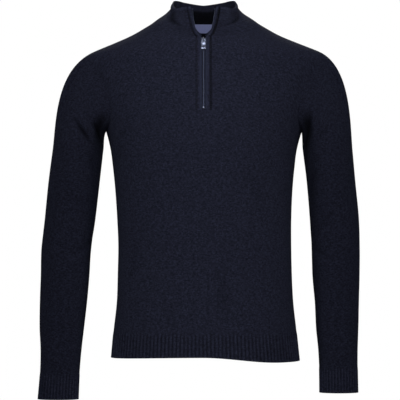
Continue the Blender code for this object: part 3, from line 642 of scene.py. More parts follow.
def wall_mesh(name, outer, inner, uv, closed, kept, joined, shade):
    """A closed wall between two grids of points, with the cloth's own lengths, in metres, as its UV map.

    Its free edges get a bevel weight, apart from those of the rows that run on into another piece. The
    painted shade and painted light of its outer and inner points are kept as an attribute.
    """
    rows, columns = outer.shape[:2]
    count = rows * columns
    row, column = np.nonzero(kept)
    after = (column + 1) % columns
    low, high = row * columns, (row + 1) * columns
    front = np.stack([low + column, low + after, high + after, high + column], axis=1)
    low_uv = [uv[row, column], uv[row, column + 1]]
    high_uv = [uv[row + 1, column + 1], uv[row + 1, column]]
    front_uv = np.stack(low_uv + high_uv, axis=1)
    edges = np.stack([front, np.roll(front, -1, axis=1)], axis=-1).reshape(-1, 2)
    edge_uv = np.stack([front_uv, np.roll(front_uv, -1, axis=1)], axis=2).reshape(-1, 2, 2)
    code = edges[:, 0] * count + edges[:, 1]
    free = ~np.isin(code, edges[:, 1] * count + edges[:, 0])
    start, end = edges[free, 0], edges[free, 1]
    rounded = np.ones(len(start), bool)
    if "foot" in joined:
        rounded &= (start >= columns) | (end >= columns)
    if "top" in joined:
        rounded &= (start < count - columns) | (end < count - columns)
    rounded = np.stack([start, end], axis=1)[rounded]
    rounded = np.sort(np.concatenate([rounded, rounded + count]), axis=1)
    rim = np.stack([end, start, start + count, end + count], axis=1)
    rim_uv = edge_uv[free][:, [1, 0, 0, 1]]
    quads = np.concatenate([front, front[:, ::-1] + count, rim])
    quads_uv = np.concatenate([front_uv, front_uv[:, ::-1], rim_uv])
    verts = np.concatenate([outer.reshape(-1, 3), inner.reshape(-1, 3)])
    used, quads = np.unique(quads, return_inverse=True)
    rounded = np.searchsorted(used, rounded)
    quads = quads.reshape(-1, 4)
    verts = verts[used] * MM
    corner = verts[quads]
    volume = np.einsum("ij,ij->i", corner[:, 0], np.cross(corner[:, 1], corner[:, 2])).sum()
    volume += np.einsum("ij,ij->i", corner[:, 0], np.cross(corner[:, 2], corner[:, 3])).sum()
    if volume < 0:
        quads, quads_uv = quads[:, ::-1], quads_uv[:, ::-1]
    mesh = bpy.data.meshes.new(name)
    mesh.from_pydata(verts.tolist(), [], quads.tolist())
    mesh.uv_layers.new(name="cloth").data.foreach_set("uv", quads_uv.reshape(-1).astype(np.float32))
    ends = np.zeros(2 * len(mesh.edges), np.int32)
    mesh.edges.foreach_get("vertices", ends)
    ends = np.sort(ends.reshape(-1, 2).astype(np.int64), axis=1)
    weight = np.isin(ends[:, 0] * len(used) + ends[:, 1], rounded[:, 0] * len(used) + rounded[:, 1])
    bevel = mesh.attributes.new("bevel_weight_edge", "FLOAT", "EDGE")
    bevel.data.foreach_set("value", weight.astype(np.float32))
    both = np.concatenate([side_shade.reshape(-1) for side_shade in shade])[used]
    mesh.attributes.new("shade", "FLOAT", "POINT").data.foreach_set("value", both.astype(np.float32))
    return mesh


def add_cloth(
    name, node, outer, inner, uv, finish, closed=False, kept=None, rounding=0.5, joined=(), shade=0.0
):
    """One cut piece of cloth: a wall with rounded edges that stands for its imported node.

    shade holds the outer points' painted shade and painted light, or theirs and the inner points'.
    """
    rows, columns = outer.shape[:2]
    if kept is None:
        kept = np.ones((rows - 1, columns if closed else columns - 1), bool)
    # unless given, the inner points get the painted shade of the inside
    if not isinstance(shade, tuple):
        shade = (shade, INSIDE_SHADE)
    shade = [np.broadcast_to(side_shade, (rows, columns)) for side_shade in shade]
    mesh = wall_mesh(name, outer, inner, uv, closed, kept, joined, shade)
    piece = bpy.data.objects.new(name, mesh)
    bpy.context.collection.objects.link(piece)
    mesh.materials.append(finish.material)
    bevel = piece.modifiers.new("rounded edge", "BEVEL")
    bevel.width = rounding * MM
    bevel.segments = 3
    bevel.limit_method = "WEIGHT"
    make_active(piece)
    bpy.ops.object.modifier_apply(modifier=bevel.name)
    bpy.ops.object.shade_smooth_by_angle(angle=math.radians(CLOTH_SMOOTH_UNDER))
    flat, area = flat_size((outer + inner) / 2, closed, kept)
    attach(piece, "garment")
    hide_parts(node)
    CUT[name] = (*flat, area)


def make_active(piece):
    bpy.ops.object.select_all(action="DESELECT")
    piece.select_set(True)
    bpy.context.view_layer.objects.active = piece


def grid_uv(grid, start=None, closed=False, level=0):
    """The cloth's lengths across, from the start column, and along, from the level row, in metres.

    A tube gets one more column, where it meets its start.
    """
    ring = np.concatenate([grid, grid[:, :1]], axis=1) if closed else grid
    across = run_length(ring, 1, start)
    along = run_length(ring, 0, level)
    return np.stack([across, along], axis=-1) * MM


def panel_grid(face):
    """Turns and heights of a panel's points, with rows from the hem rib up to the neck seam."""
    below = np.linspace(HEM_TOP, PIT, round((PIT - HEM_TOP) / ROW_GAP) + 1)[:-1]
    steps = np.linspace(180, 0, ARMHOLE_STEPS + 1)
    yoke = np.linspace(0, 1, YOKE_ROWS + 1)[1:]
    edge = np.concatenate([np.full(len(below), 90.0), armhole_turn(steps, face), np.full(YOKE_ROWS, 90.0)])
    top = np.full(YOKE_ROWS, SHOULDER_POINT)
    level = np.concatenate([below, np.linspace(PIT, SHOULDER_POINT, len(steps)), top])
    edge_level = np.concatenate([below, armhole_height(steps), top])
    rise = np.concatenate([np.zeros(len(below) + len(steps)), yoke])
    half = np.linspace(0, 1, PANEL_COLUMNS[face] + 1)[1:]
    if face == BACK:
        share = np.concatenate([-half[::-1], [0], half])
        turn = edge[:, None] * share
        return turn, panel_height(face, turn, level, edge_level, rise, edge)
    welt = SLOT_HALF + np.array(WELT_COLUMNS)
    x = np.concatenate([-welt[::-1], MIDDLE_COLUMNS, welt])
    height = level[:, None] + 0 * x
    for _ in range(ROUNDS):
        near = turn_at(x, height)
        height = panel_height(face, near, level, edge_level, rise, edge)
    left = near[:, -1:] + (edge[:, None] - near[:, -1:]) * half
    right = near[:, :1] + (-edge[:, None] - near[:, :1]) * half[::-1]
    turn = np.concatenate([right, near, left], axis=1)
    return turn, panel_height(face, turn, level, edge_level, rise, edge)


def panel_height(face, turn, level, edge_level, rise, edge):
    """Heights of a panel's points, whose last rows rise from the shoulder point's level to the neck seam."""
    share = np.abs(turn) / edge[:, None]
    seam = neck_height(turn if face == FRONT else 180 - turn)
    height = level[:, None] + (edge_level - level)[:, None] * share**ROW_BOW
    return height + rise[:, None] * (seam - SHOULDER_POINT)


def body_folds(creases, base, middle):
    """The soft folds of a panel, which fade out towards its armholes, side seams and hem."""
    across = run_length(base, 1, middle)
    room = np.minimum(across - across[:, :1], across[:, -1:] - across)
    room = np.minimum(room, base[..., 2] - HEM_TOP)
    return crease_relief(creases, across, base[..., 2]) * smooth_step(room / FOLD_CLEAR)


def seam_dip(grid, edges):
    """How far the cloth dips near its sewn edges."""
    up = run_length(grid, 0)
    across = run_length(grid, 1)
    dip = np.zeros(grid.shape[:2])
    if "top" in edges:
        dip += bell(up[-1] - up, SEAM_DIP_REACH)
    if "foot" in edges:
        dip += bell(up, SEAM_DIP_REACH)
    if "sides" in edges:
        dip += bell(across, SEAM_DIP_REACH) + bell(across[:, -1:] - across, SEAM_DIP_REACH)
    return SEAM_DIP * np.minimum(dip, 1)


def add_front():
    turn, height = panel_grid(FRONT)
    base = body_layer(turn, height, 0)
    middle = turn.shape[1] // 2
    folds = body_folds(FRONT_CREASES, base, middle)
    x = base[..., 0]
    fade = smooth_step((height - WELT_END) / WELT_END_FADE)
    welt, shade = fade * welt_relief(np.sign(x), np.abs(x) - SLOT_HALF)
    dip = seam_dip(base, ("top", "sides"))
    outer = body_layer(turn, height, folds + welt - dip)
    inner = body_layer(turn, height, folds - dip - KNIT)
    kept = np.ones((turn.shape[0] - 1, turn.shape[1] - 1), bool)
    foot = np.argmin(np.abs(height[:, middle] - SLOT_FOOT))
    slot = len(MIDDLE_COLUMNS) // 2 + 1
    kept[foot:, middle - slot : middle + slot] = False
    uv = grid_uv(base, middle)
    # painted shade in the troughs of the soft folds
    shade = shade + fold_shade(folds)
    add_cloth("front", "front_panel", outer, inner, uv, PLAIN_KNIT, kept=kept, joined=("foot",), shade=shade)


def add_back():
    turn, height = panel_grid(BACK)
    turn = 180 - turn
    base = body_layer(turn, height, 0)
    middle = turn.shape[1] // 2
    folds = body_folds(BACK_CREASES, base, middle)
    dip = seam_dip(base, ("top", "sides"))
    outer = body_layer(turn, height, folds - dip)
    inner = body_layer(turn, height, folds - dip - KNIT)
    # painted shadow on the inside, strongest at the back of the neck
    neck_shadow = bell(np.linalg.norm(base - points(0, BODY_RINGS[1].back, BACK_NECK), axis=-1), NECK_SHADE_REACH)
    # the outer points get painted shade in the fold troughs, the inner ones painted shadow near the neck
    uv, shade = grid_uv(base, middle), (fold_shade(folds), np.maximum(NECK_SHADE * neck_shadow, INSIDE_SHADE))
    add_cloth("back", "back_panel", outer, inner, uv, PLAIN_KNIT, joined=("foot",), shade=shade)


def rib_wave(phase):
    """Height of a rib's face, from 0 in the groove to 1 on the rib, over phases 0 to 1."""
    return (0.5 - 0.5 * np.cos(2 * np.pi * phase)) ** RIB_FULLNESS


def rib_rows(low, high):
    """Heights of a rib band's rows, closer together where the ribs fade into the plain knit."""
    return low + (high - low) * np.array(RIB_ROWS)[:, None]


def rib_raise(phase, below_top, above_end):
    """How far the ribs stand out from the cloth's face, with painted shade in the grooves and a painted
    highlight on the ribs.

    They fade in below the plain knit, and run out into a bead along the free edge.
    """
    edge = bell(above_end, CAST_OFF_WIDE)
    fade = smooth_step(below_top / RIB_FADE) * (1 - CAST_OFF_FLAT * edge)
    high = RIB_RAISE / 2
    low = -high - GROOVE_SINK
    wave = rib_wave(phase)
    # painted shade in the grooves, and a painted highlight on the ribs
    shade = GROOVE_SHADE * (1 - wave) - RIB_HIGHLIGHT * wave
    return (low + (high - low) * wave) * fade + CAST_OFF * edge, shade * fade


def add_hem(face):
    phase = np.arange(HEM_RIBS * RIB_POINTS + 1) / RIB_POINTS
    turn = even_turns(lambda turn: body_point(turn, HEM_LOW), -90 if face == FRONT else 270, 90, len(phase))
    low = hem_end(body_point(turn, np.full(len(turn), HEM_LOW))[:, 0])
    height = rib_rows(low, HEM_TOP)
    turn = turn + 0 * height
    raised, shade = rib_raise(phase, HEM_TOP - height, height - low)
    outer = body_layer(turn, height, raised)
    inner = body_layer(turn, height, -RIB_WALL - RIB_RAISE / 2)
    word = "front" if face == FRONT else "back"
    uv = grid_uv(body_layer(turn, height, 0))
    add_cloth("hem_" + word, "hem_rib_" + word, outer, inner, uv, RIB_KNIT, joined=("top",), shade=shade)


def sleeve_grid(side):
    """Levels and step angles of a sleeve's points; the columns start and end at the seam under the arm."""
    step_angle = 180 + np.arange(2 * ARMHOLE_STEPS) * 180 / ARMHOLE_STEPS
    arm_rows = round((UPPER_ARM - CUFF_TOP[side]) / ARM_ROW_GAP)
    head = np.linspace(0, 1, HEAD_ROWS + 1)
    level = np.concatenate([head, 1 + np.linspace(0, 1, arm_rows + 1)[1:]])[:, None] + 0 * step_angle
    start, _ = armhole_point(side, step_angle)
    towards = sleeve_point(side, SEWN_SHARE + 0 * step_angle, step_angle) - start
    level[0] = SEWN_SHARE * SEWN / np.linalg.norm(towards, axis=-1)
    return level, step_angle + 0 * level


def turned_allowance(side, step_angle):
    """Two rows of the sleeve's outer and inner points that lie under the panels round the armhole."""
    start, facing = armhole_point(side, step_angle)
    along = armhole_point(side, step_angle + 1)[0] - armhole_point(side, step_angle - 1)[0]
    away = unit(np.cross(facing, along))
    from_middle = start - start.mean(axis=0)
    away *= np.sign(np.sum(away * from_middle, axis=-1, keepdims=True))
    under = start - (KNIT + 2 * SEWN) * facing
    outer = np.stack([under + ALLOWANCE * away, under - SEWN * away])
    inner = outer - ALLOWANCE_THICK * facing
    inner[1] -= ALLOWANCE_THICK * away
    return outer, inner


def add_sleeve(side):
    level, step_angle = sleeve_grid(side)

    def surface(u, v):
        return sleeve_point(side, np.maximum(u, 0), v)

    centre = surface(level, step_angle)
    facing = -side * normals(surface, level, step_angle, *SLEEVE_STEP)
    folds = -fold_depth(step_angle, centre[..., 2]) * smooth_step(level / FOLD_START)
    outside = ARMHOLE_STEPS
    ring = np.concatenate([centre, centre[:, :1]], axis=1)
    run = run_length(ring, 1, outside)
    girth = run[:, -1:] - run[:, :1]
    folds = folds + crease_relief(SLEEVE_CREASES[side], run[:, :-1], centre[..., 2], girth)
    # painted shade in the troughs of the sleeve's folds and creases
    shade = fold_shade(folds)
    folds = folds - seam_dip(centre, ("foot",))
    outer = centre + folds[..., None] * facing
    inner = centre + (folds - KNIT)[..., None] * facing
    for grid in (outer, inner):
        grid[-1, :, 2] = CUFF_TOP[side]
    shade = np.concatenate([shade[:1], shade[:1], shade])
    under_outer, under_inner = turned_allowance(side, step_angle[0])
    outer = np.concatenate([under_outer, outer])
    inner = np.concatenate([under_inner, inner])
    uv = grid_uv(outer, outside, closed=True, level=len(outer) - 1)
    name, node = "sleeve_cloth_" + WORDS[side], "sleeve_" + WORDS[side]
    add_cloth(name, node, outer, inner, uv, PLAIN_KNIT, closed=True, joined=("top",), shade=shade)


def add_cuff(side):
    phase = np.arange(CUFF_RIBS * RIB_POINTS) / RIB_POINTS

    def end_ring(angle):
        return sleeve_ring(side, angle, CUFF_END[side])

    step_angle = even_turns(end_ring, 180, 540, len(phase) + 1)[:-1]
    height = rib_rows(np.full(len(phase), CUFF_END[side]), CUFF_TOP[side])
    step_angle = step_angle + 0 * height
    centre = sleeve_ring(side, step_angle, height)
    ring_normal = normals(lambda u, v: sleeve_ring(side, u, v), step_angle, height, *CUFF_STEP)
    outwards = centre - centre.mean(axis=1, keepdims=True)
    ring_normal *= np.sign(np.sum(ring_normal * outwards, axis=-1, keepdims=True))
    ring_normal[..., 2] = 0
    raised, shade = rib_raise(phase, CUFF_TOP[side] - height, height - CUFF_END[side])
    # painted light that makes the cuffs a little lighter than the sleeves
    shade = shade - CUFF_PAINTED_LIGHT * smooth_step((CUFF_TOP[side] - height) / RIB_FADE)
    outer = centre + raised[..., None] * ring_normal
    inner = centre - (RIB_WALL + RIB_RAISE / 2) * ring_normal
    name, node = "cuff_cloth_" + WORDS[side], "cuff_" + WORDS[side]
    uv = grid_uv(centre, closed=True)
    add_cloth(name, node, outer, inner, uv, RIB_KNIT, closed=True, joined=("top",), shade=shade)


def add_collar():
    share = np.linspace(0, 1, COLLAR_ROWS + 1)[:, None]
    x = v_half(share) + np.array(WELT_COLUMNS)
    spread = np.linspace(0, 1, COLLAR_COLUMNS + 1)[1:]
    halves = {}
    for side in (RIGHT, LEFT):
        near = side * collar_turn_at(side * x, share)
        far = near[:, -1:] + (90 - near[:, -1:]) * spread
        halves[side] = side * np.concatenate([near, far], axis=1)
    behind = np.linspace(90, 270, BEHIND_COLUMNS + 1)[1:-1] + 0 * share
    behind = np.where(behind > 180, behind - 360, behind)
    turn = np.concatenate([halves[LEFT], behind, halves[RIGHT][:, ::-1]], axis=1)
    base = collar_layer(share, turn, 0)
    proud = smooth_step(share / COLLAR_PROUD_REACH) + 0 * turn
    proud = COLLAR_FOOT_PROUD + (COLLAR_PROUD - COLLAR_FOOT_PROUD) * proud
    distance = np.abs(base[..., 0]) - v_half(share)
    front = np.abs(turn) < COLLAR_SIDE
    welt, shade = COLLAR_WELT * np.where(front, welt_relief(np.sign(turn), distance), 0)
    # painted shade in the troughs of the collar's creases
    shade = shade + fold_shade(-COLLAR_SHADE * collar_crease_depth(share, turn))
    # a painted highlight along the collar's folded upper edge
    shade = shade - EDGE_HIGHLIGHT * smooth_step((share - EDGE_FROM) / EDGE_FADE)
    # painted shadow inside the back of the collar, below where light reaches it
    neck_shadow = np.where(front, 0, smooth_step((INSIDE_LIT_FROM - share) / INSIDE_LIT_FADE))
    inside = np.maximum(NECK_SHADE * neck_shadow, INSIDE_SHADE)
    outer = collar_layer(share, turn, proud + welt - seam_dip(base, ("foot",)))
    inner = collar_layer(share, turn, -KNIT + 0 * turn)
    middle = turn.shape[1] // 2
    uv = grid_uv(base, middle)
    shade = (shade, inside)
    add_cloth("stand_collar", "collar", outer, inner, uv, PLAIN_KNIT, rounding=1.0, shade=shade)


def add_label():
    """The bare woven label, sewn to the inside of the back at its two ends."""
    height = np.linspace(LABEL_LOW, LABEL_TOP, LABEL_ROWS)[:, None]
    share = np.linspace(-1, 1, LABEL_COLUMNS)
    turn = 180 - turn_at(LABEL_HALF * share + 0 * height, height)
    height = height + 0 * turn
    wave = LABEL_WAVE * np.cos(LABEL_WAVE_ACROSS * share + LABEL_WAVE_UP * height)
    lift = LABEL_LIFT * (1 - share**2) * (1 - LABEL_WAVE + wave)
    outer = body_layer(turn, height, -KNIT - LABEL_GAP - lift)
    inner = body_layer(turn, height, -KNIT - LABEL_GAP - LABEL_THICK - lift)
    uv = grid_uv(outer)
    add_cloth("label_cloth", "neck_label", outer, inner, uv, LABEL_SATIN, rounding=0.2)


# ---- Zip ----

CHAIN_DEPTH = TAPE_DEPTH + TAPE_THICK / 2  # from the cloth's face to the middle of the teeth
TAPE_BREAK = 1.5  # how far below the neck the tape's rows on the front end, before those on the collar
HEIGHT_STEP, SHARE_STEP = 1.0, 0.005  # small steps up the front and up the collar
SMOOTH_UNDER, ROUND_OVER = 40, 35  # degrees between faces
FACING, TOUCH = 0.9, 0.01  # how straight a face looks along an axis, and how near a point is to be at a place
CHAIN_COVERED = 1  # how much of the closed row's upper end is in the slider

# A tooth's neck between its grip and its head, and how much narrower the neck and the head's end are
TOOTH_NECK_FROM, TOOTH_NECK_TO = -0.45, 0.35
TOOTH_NECK, TOOTH_HEAD_END, TOOTH_EDGE = (1, 0.72, 0.6), (1, 0.8, 0.9), 0.22
# Width, depth and height of the clips, and their thinner waists
END_CLIP, END_CLIP_WAIST = (4.2, CHAIN_THICK, STOP_LONG - 1), 1.0
TOP_CLIP, TOP_CLIP_WAIST = (TEETH_WIDE, CHAIN_THICK, 3.0), 0.9
CLIP_WAIST_LONG, CLIP_THIN, CLIP_EDGE = 1.0, 0.8, 0.5
# The slider's plates: widest at this share of their height, with round top corners, and lips at their sides
SLIDER_SHOULDER, SLIDER_CORNER, SLIDER_CORNER_IN, SLIDER_EDGE = 0.8, 2.2, 0.12, 0.3
SLIDER_STEPS = 8
LIP_FROM, LIP_DEEP, LIP_BELOW_TOP = 0.82, 0.9, 3.2
# The wedge between the plates that parts the teeth
POST_WIDE, POST_HIGH, POST_POINT, POST_SUNK = 3.2, 5.5, 0.32, 0.6
BRIDGE_SUNK, BRIDGE_SQUARE, BRIDGE_WAIST, BRIDGE_EDGE, BRIDGE_STEPS = 0.35, 0.7, 0.12, 0.25, 14
# The pull's sunk panel: its distance from the sides, the foot and the window, its sloped edge and its depth
PANEL_SIDE, PANEL_ABOVE_FOOT, PANEL_UNDER_WINDOW, PANEL_SLOPE, PANEL_SUNK = 1.1, 2.2, 1.4, 0.3, 0.4
PULL_EDGE = 0.38
STITCH_END = 0.6  # how much thinner a stitch is at its ends
TOPSTITCH_MARGIN, TOPSTITCH_SHARES = 3, (0.06, 0.96)  # where the topstitches end on the front and the collar


def beside_slot(side, height, from_edge, depth):
    """Points beside the zip on the front; from_edge runs from the cloth's edge to the zip's middle line."""
    x = side * (SLOT_HALF - from_edge)
    return body_layer(turn_at(x, height), height, -depth)


def beside_collar(side, share, from_edge, depth):
    """Points beside the zip on the collar, where what is past the cloth's edge is turned in to the neck."""
    share, from_edge, depth = np.broadcast_arrays(share, from_edge, depth)
    angle = math.radians(TAPE_TURN) * smooth_step(share / TAPE_TURN_SHARE)
    deeper = depth - TAPE_DEPTH
    past = from_edge > 0
    turned = TAPE_DEPTH + from_edge * np.sin(angle) + deeper * np.cos(angle)
    across = np.where(past, from_edge * np.cos(angle) - deeper * np.sin(angle), from_edge)
    x = side * (v_half(share) - across)
    return collar_layer(share, collar_turn_at(x, share), -np.where(past, turned, depth))


def add_tape(side):
    """A woven tape whose edge beside the teeth is a thicker bead."""
    height = np.linspace(TAPE_END, FRONT_NECK - TAPE_BREAK, TAPE_ROWS)[:, None]
    share = np.linspace(COLLAR_FOOT, COLLAR_HEAD, TAPE_COLLAR_ROWS)[:, None]
    from_edge, swell = np.array(TAPE_PROFILE).T

    def layer(face):
        """The tape's outer side, for face 1, or its inner side, for face -1."""
        depth = CHAIN_DEPTH - face * (TAPE_THICK / 2 + swell)
        below = beside_slot(side, height, from_edge, depth)
        return np.concatenate([below, beside_collar(side, share, from_edge, depth)])

    outer, inner = layer(1), layer(-1)
    word = WORDS[side]
    add_cloth("tape_" + word, "zip_tape_" + word, outer, inner, grid_uv(outer), ZIP_TAPE, rounding=0.2)


def finish_hardware(piece, name, finish, body="garment"):
    piece.name = piece.data.name = name
    piece.data.materials.clear()
    piece.data.materials.append(finish.material)
    make_active(piece)
    bpy.ops.object.shade_smooth_by_angle(angle=math.radians(SMOOTH_UNDER))
    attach(piece, body)


def new_block(wide, deep, high):
    """A block of this size round the origin, selected and in object mode."""
    bpy.ops.object.select_all(action="DESELECT")
    bpy.ops.mesh.primitive_cube_add(size=1)
    block = bpy.context.object
    block.data.transform(Matrix.Diagonal((wide * MM, deep * MM, high * MM, 1)))
    return block


def round_edges(piece, wide, segments=2):
    bevel = piece.modifiers.new("rounded", "BEVEL")
    bevel.width = wide * MM
    bevel.segments = segments
    bevel.limit_method = "ANGLE"
    bevel.angle_limit = math.radians(ROUND_OVER)
    make_active(piece)
    bpy.ops.object.modifier_apply(modifier=bevel.name)


def pick(piece, test, kind="VERT"):
    """In edit mode, select the points, or the faces, whose place in millimetres passes the test."""
    bpy.ops.object.mode_set(mode="EDIT")
    bpy.ops.mesh.select_mode(type="VERT")
    bpy.ops.mesh.select_all(action="DESELECT")
    if kind == "FACE":
        bpy.ops.mesh.select_mode(type="FACE")
    bpy.ops.object.mode_set(mode="OBJECT")
    if kind == "VERT":
        for vert in piece.data.vertices:
            vert.select = bool(test(vert.co / MM))
    else:
        for face in piece.data.polygons:
            face.select = bool(test(face.center / MM, face.normal))
    bpy.ops.object.mode_set(mode="EDIT")


def slice_block(piece, axis, places):
    """Cut a piece right through by flat planes across an axis, keeping both sides."""
    make_active(piece)
    bpy.ops.object.mode_set(mode="EDIT")
    for place in places:
        point, facing = [0.0, 0.0, 0.0], [0.0, 0.0, 0.0]
        point[axis], facing[axis] = place * MM, 1.0
        bpy.ops.mesh.select_all(action="SELECT")
        bpy.ops.mesh.bisect(plane_co=point, plane_no=facing)
    bpy.ops.object.mode_set(mode="OBJECT")


def join_copies(piece, places):
    """Copies of a piece at these matrices, each with its own mesh, joined into one object."""
    copies = []
    for place in places:
        copy = piece.copy()
        copy.data = piece.data.copy()
        copy.data.transform(place)
        bpy.context.collection.objects.link(copy)
        copies.append(copy)
    bpy.ops.object.select_all(action="DESELECT")
    for copy in copies:
        copy.select_set(True)
    bpy.context.view_layer.objects.active = copies[0]
    bpy.ops.object.join()
    bpy.data.objects.remove(piece)
    return copies[0]


def frames_along(surface, at, step, depth=CHAIN_DEPTH):
    """Matrices at these places along surface(at, depth), with Z along the zip and -Y out of the cloth."""
    place = surface(at, depth)
    above = surface(at + step, depth)
    outside = surface(at, depth - 1)
    frames = []
    for here, ahead, out in zip(place, above, outside):
        up = Vector(ahead - here).normalized()
        back = Vector(here - out)
        back = (back - up * back.dot(up)).normalized()
        turned = Matrix((back.cross(up), back, up)).transposed().to_4x4()
        frames.append(Matrix.Translation(Vector(here) * MM) @ turned)
    return frames


def zip_middle(height, depth):
    return body_layer(0 * height, height, -depth)


def open_row(side):
    """The surface along the middle of the open teeth, up one edge of the collar."""
    from_edge = TAPE_SHOWS + CLEAR + TEETH_WIDE / 2
    return lambda share, depth: beside_collar(side, share, from_edge, depth)


def spaced(surface, low, high, gap):
    """Places from low to high that lie this far apart along the surface, starting half a gap in."""
    at = np.linspace(low, high, FINE_POINTS)
    line = surface(at, CHAIN_DEPTH)
    run = np.concatenate([[0], np.cumsum(np.linalg.norm(np.diff(line, axis=0), axis=-1))])
    return np.interp(np.arange(gap / 2, run[-1], gap), run, at)


def new_tooth():
    """One cast tooth: a block that grips the tape, a neck and a rounded head. Its head is towards +X."""
    tooth = new_block(TOOTH_LONG, CHAIN_THICK, TOOTH_HIGH)
    slice_block(tooth, 0, (TOOTH_NECK_FROM, TOOTH_NECK_TO))
    pick(tooth, lambda place: abs(place.x) < TOOTH_LONG / 4)
    bpy.ops.transform.resize(value=TOOTH_NECK)
    pick(tooth, lambda place: place.x > TOOTH_LONG / 4)
    bpy.ops.transform.resize(value=TOOTH_HEAD_END)
    bpy.ops.object.mode_set(mode="OBJECT")
    round_edges(tooth, TOOTH_EDGE)
    return tooth


def add_teeth():
    """The closed row up to the slider, and the open row on each side above it."""
    foot, head = CHAIN_END, SLIDER_MIDDLE - SLIDER_LONG / 2 + CHAIN_COVERED
    turned = {RIGHT: Matrix.Identity(4), LEFT: Matrix.Rotation(math.pi, 4, "Y")}
    closed = []
    for side, lag in ((RIGHT, 0.25), (LEFT, 0.75)):
        height = np.arange(foot + TOOTH_PITCH * lag, head, TOOTH_PITCH)
        aside = Matrix.Translation((side * TOOTH_SHIFT * MM, 0, 0)) @ turned[side]
        closed += [place @ aside for place in frames_along(zip_middle, height, HEIGHT_STEP)]
    row = join_copies(new_tooth(), closed)
    finish_hardware(row, "closed_teeth", TOOTH_METAL)
    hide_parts("zip_chain")
    for side in (RIGHT, LEFT):
        surface = open_row(side)
        share = spaced(surface, COLLAR_FOOT, TEETH_SHARE, TOOTH_PITCH)
        places = [place @ turned[side] for place in frames_along(surface, share, SHARE_STEP)]
        row = join_copies(new_tooth(), places)
        finish_hardware(row, "open_teeth_" + WORDS[side], TOOTH_METAL)
        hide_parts("zip_teeth_" + WORDS[side])


def add_clip(name, node, size, waist, place, finish):
    """A pressed metal clip round the tape, a little thinner across its middle."""
    clip = new_block(*size)
    slice_block(clip, 2, (-CLIP_WAIST_LONG / 2, CLIP_WAIST_LONG / 2))
    pick(clip, lambda place: abs(place.z) < CLIP_WAIST_LONG)
    bpy.ops.transform.resize(value=(waist, CLIP_THIN, 1))
    bpy.ops.object.mode_set(mode="OBJECT")
    round_edges(clip, CLIP_EDGE, 3)
    clip.data.transform(place)
    finish_hardware(clip, name, finish)
    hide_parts(node)


def add_stops():
    """A clip across the closed end, and one on each tape above its last tooth."""
    height = np.array([CHAIN_END - CLEAR - STOP_LONG / 2])
    place = frames_along(zip_middle, height, HEIGHT_STEP)[0]
    add_clip("end_clip", "zip_bottom_stop", END_CLIP, END_CLIP_WAIST, place, NICKEL)
    for side in (RIGHT, LEFT):
        share = np.array([(TEETH_SHARE + COLLAR_HEAD) / 2])
        place = frames_along(open_row(side), share, SHARE_STEP)[0]
        word = WORDS[side]
        add_clip("top_clip_" + word, "zip_top_stop_" + word, TOP_CLIP, TOP_CLIP_WAIST, place, TOOTH_METAL)


def slider_frame():
    """The slider's own frame: X across, -Y out of the cloth, Z up along the zip, at the cloth's face."""
    here = body_layer(0.0, SLIDER_MIDDLE, 0.0)
    above = body_layer(0.0, SLIDER_MIDDLE + SLIDER_LONG / 2, 0.0)
    below = body_layer(0.0, SLIDER_MIDDLE - SLIDER_LONG / 2, 0.0)
    lean = math.atan2(above[1] - below[1], above[2] - below[2])
    return Matrix.Translation(here * MM) @ Matrix.Rotation(-lean, 4, "X")


def slider_face():
    """How deep the slider's front face is under the cloth's; below 0 it stands out."""
    return TAPE_DEPTH + TAPE_THICK / 2 - SLIDER_GAP / 2 - FRONT_PLATE


def slider_half(up):
    """Half the slider's width at this height above its middle: shoulders above, tapered below."""
    share = (up + SLIDER_LONG / 2) / SLIDER_LONG
    return SLIDER_FOOT_HALF + (SLIDER_HALF - SLIDER_FOOT_HALF) * smooth_step(share / SLIDER_SHOULDER)


def slider_plate(front, thick, lip):
    """One of the slider's two plates, with lips along its sides that turn towards the other plate.

    It starts 1 mm wide to each side, and each of its points is then moved out to the slider's own width.
    """
    plate = new_block(2, thick, SLIDER_LONG)
    slice_block(plate, 2, np.linspace(-SLIDER_LONG / 2, SLIDER_LONG / 2, SLIDER_STEPS + 1)[1:-1])
    slice_block(plate, 0, (-LIP_FROM, LIP_FROM))
    for vert in plate.data.vertices:
        up = vert.co.z / MM
        top = float(smooth_step((up - SLIDER_LONG / 2 + SLIDER_CORNER) / SLIDER_CORNER))
        vert.co.x *= float(slider_half(up)) * (1 - SLIDER_CORNER_IN * top)
    far = abs(lip) + thick / 2

    def on_side(place, normal):
        inside = place.y * lip > 0 and abs(normal.y) > FACING
        aside = abs(place.x) > LIP_FROM * slider_half(place.z)
        return inside and aside and place.z < SLIDER_LONG / 2 - LIP_BELOW_TOP

    pick(plate, on_side, "FACE")
    towards = (0, math.copysign(far - thick / 2, lip) * MM, 0)
    bpy.ops.mesh.extrude_region_move(TRANSFORM_OT_translate={"value": towards})
    bpy.ops.object.mode_set(mode="OBJECT")
    round_edges(plate, SLIDER_EDGE)
    plate.data.transform(Matrix.Translation((0, (front + thick / 2) * MM, 0)))
    return plate


def add_slider(place):
    face = slider_face()
    pieces = [
        slider_plate(face, FRONT_PLATE, LIP_DEEP),
        slider_plate(face + FRONT_PLATE + SLIDER_GAP, BACK_PLATE, -LIP_DEEP),
    ]
    post = new_block(POST_WIDE, SLIDER_GAP + POST_SUNK, POST_HIGH)
    pick(post, lambda place: place.z < 0)
    bpy.ops.transform.resize(value=(POST_POINT, 1, 1))
    bpy.ops.object.mode_set(mode="OBJECT")
    round_edges(post, SLIDER_EDGE)
    middle = face + FRONT_PLATE + SLIDER_GAP / 2
    post.data.transform(Matrix.Translation((0, middle * MM, (SLIDER_LONG - POST_HIGH) / 2 * MM)))
    pieces.append(post)
    pieces.append(new_bridge(face))
    bpy.ops.object.select_all(action="DESELECT")
    for piece in pieces:
        piece.select_set(True)
    bpy.context.view_layer.objects.active = pieces[0]
    bpy.ops.object.join()
    slider = pieces[0]
    slider.data.transform(place)
    finish_hardware(slider, "slider", NICKEL)
    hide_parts("zip_slider")


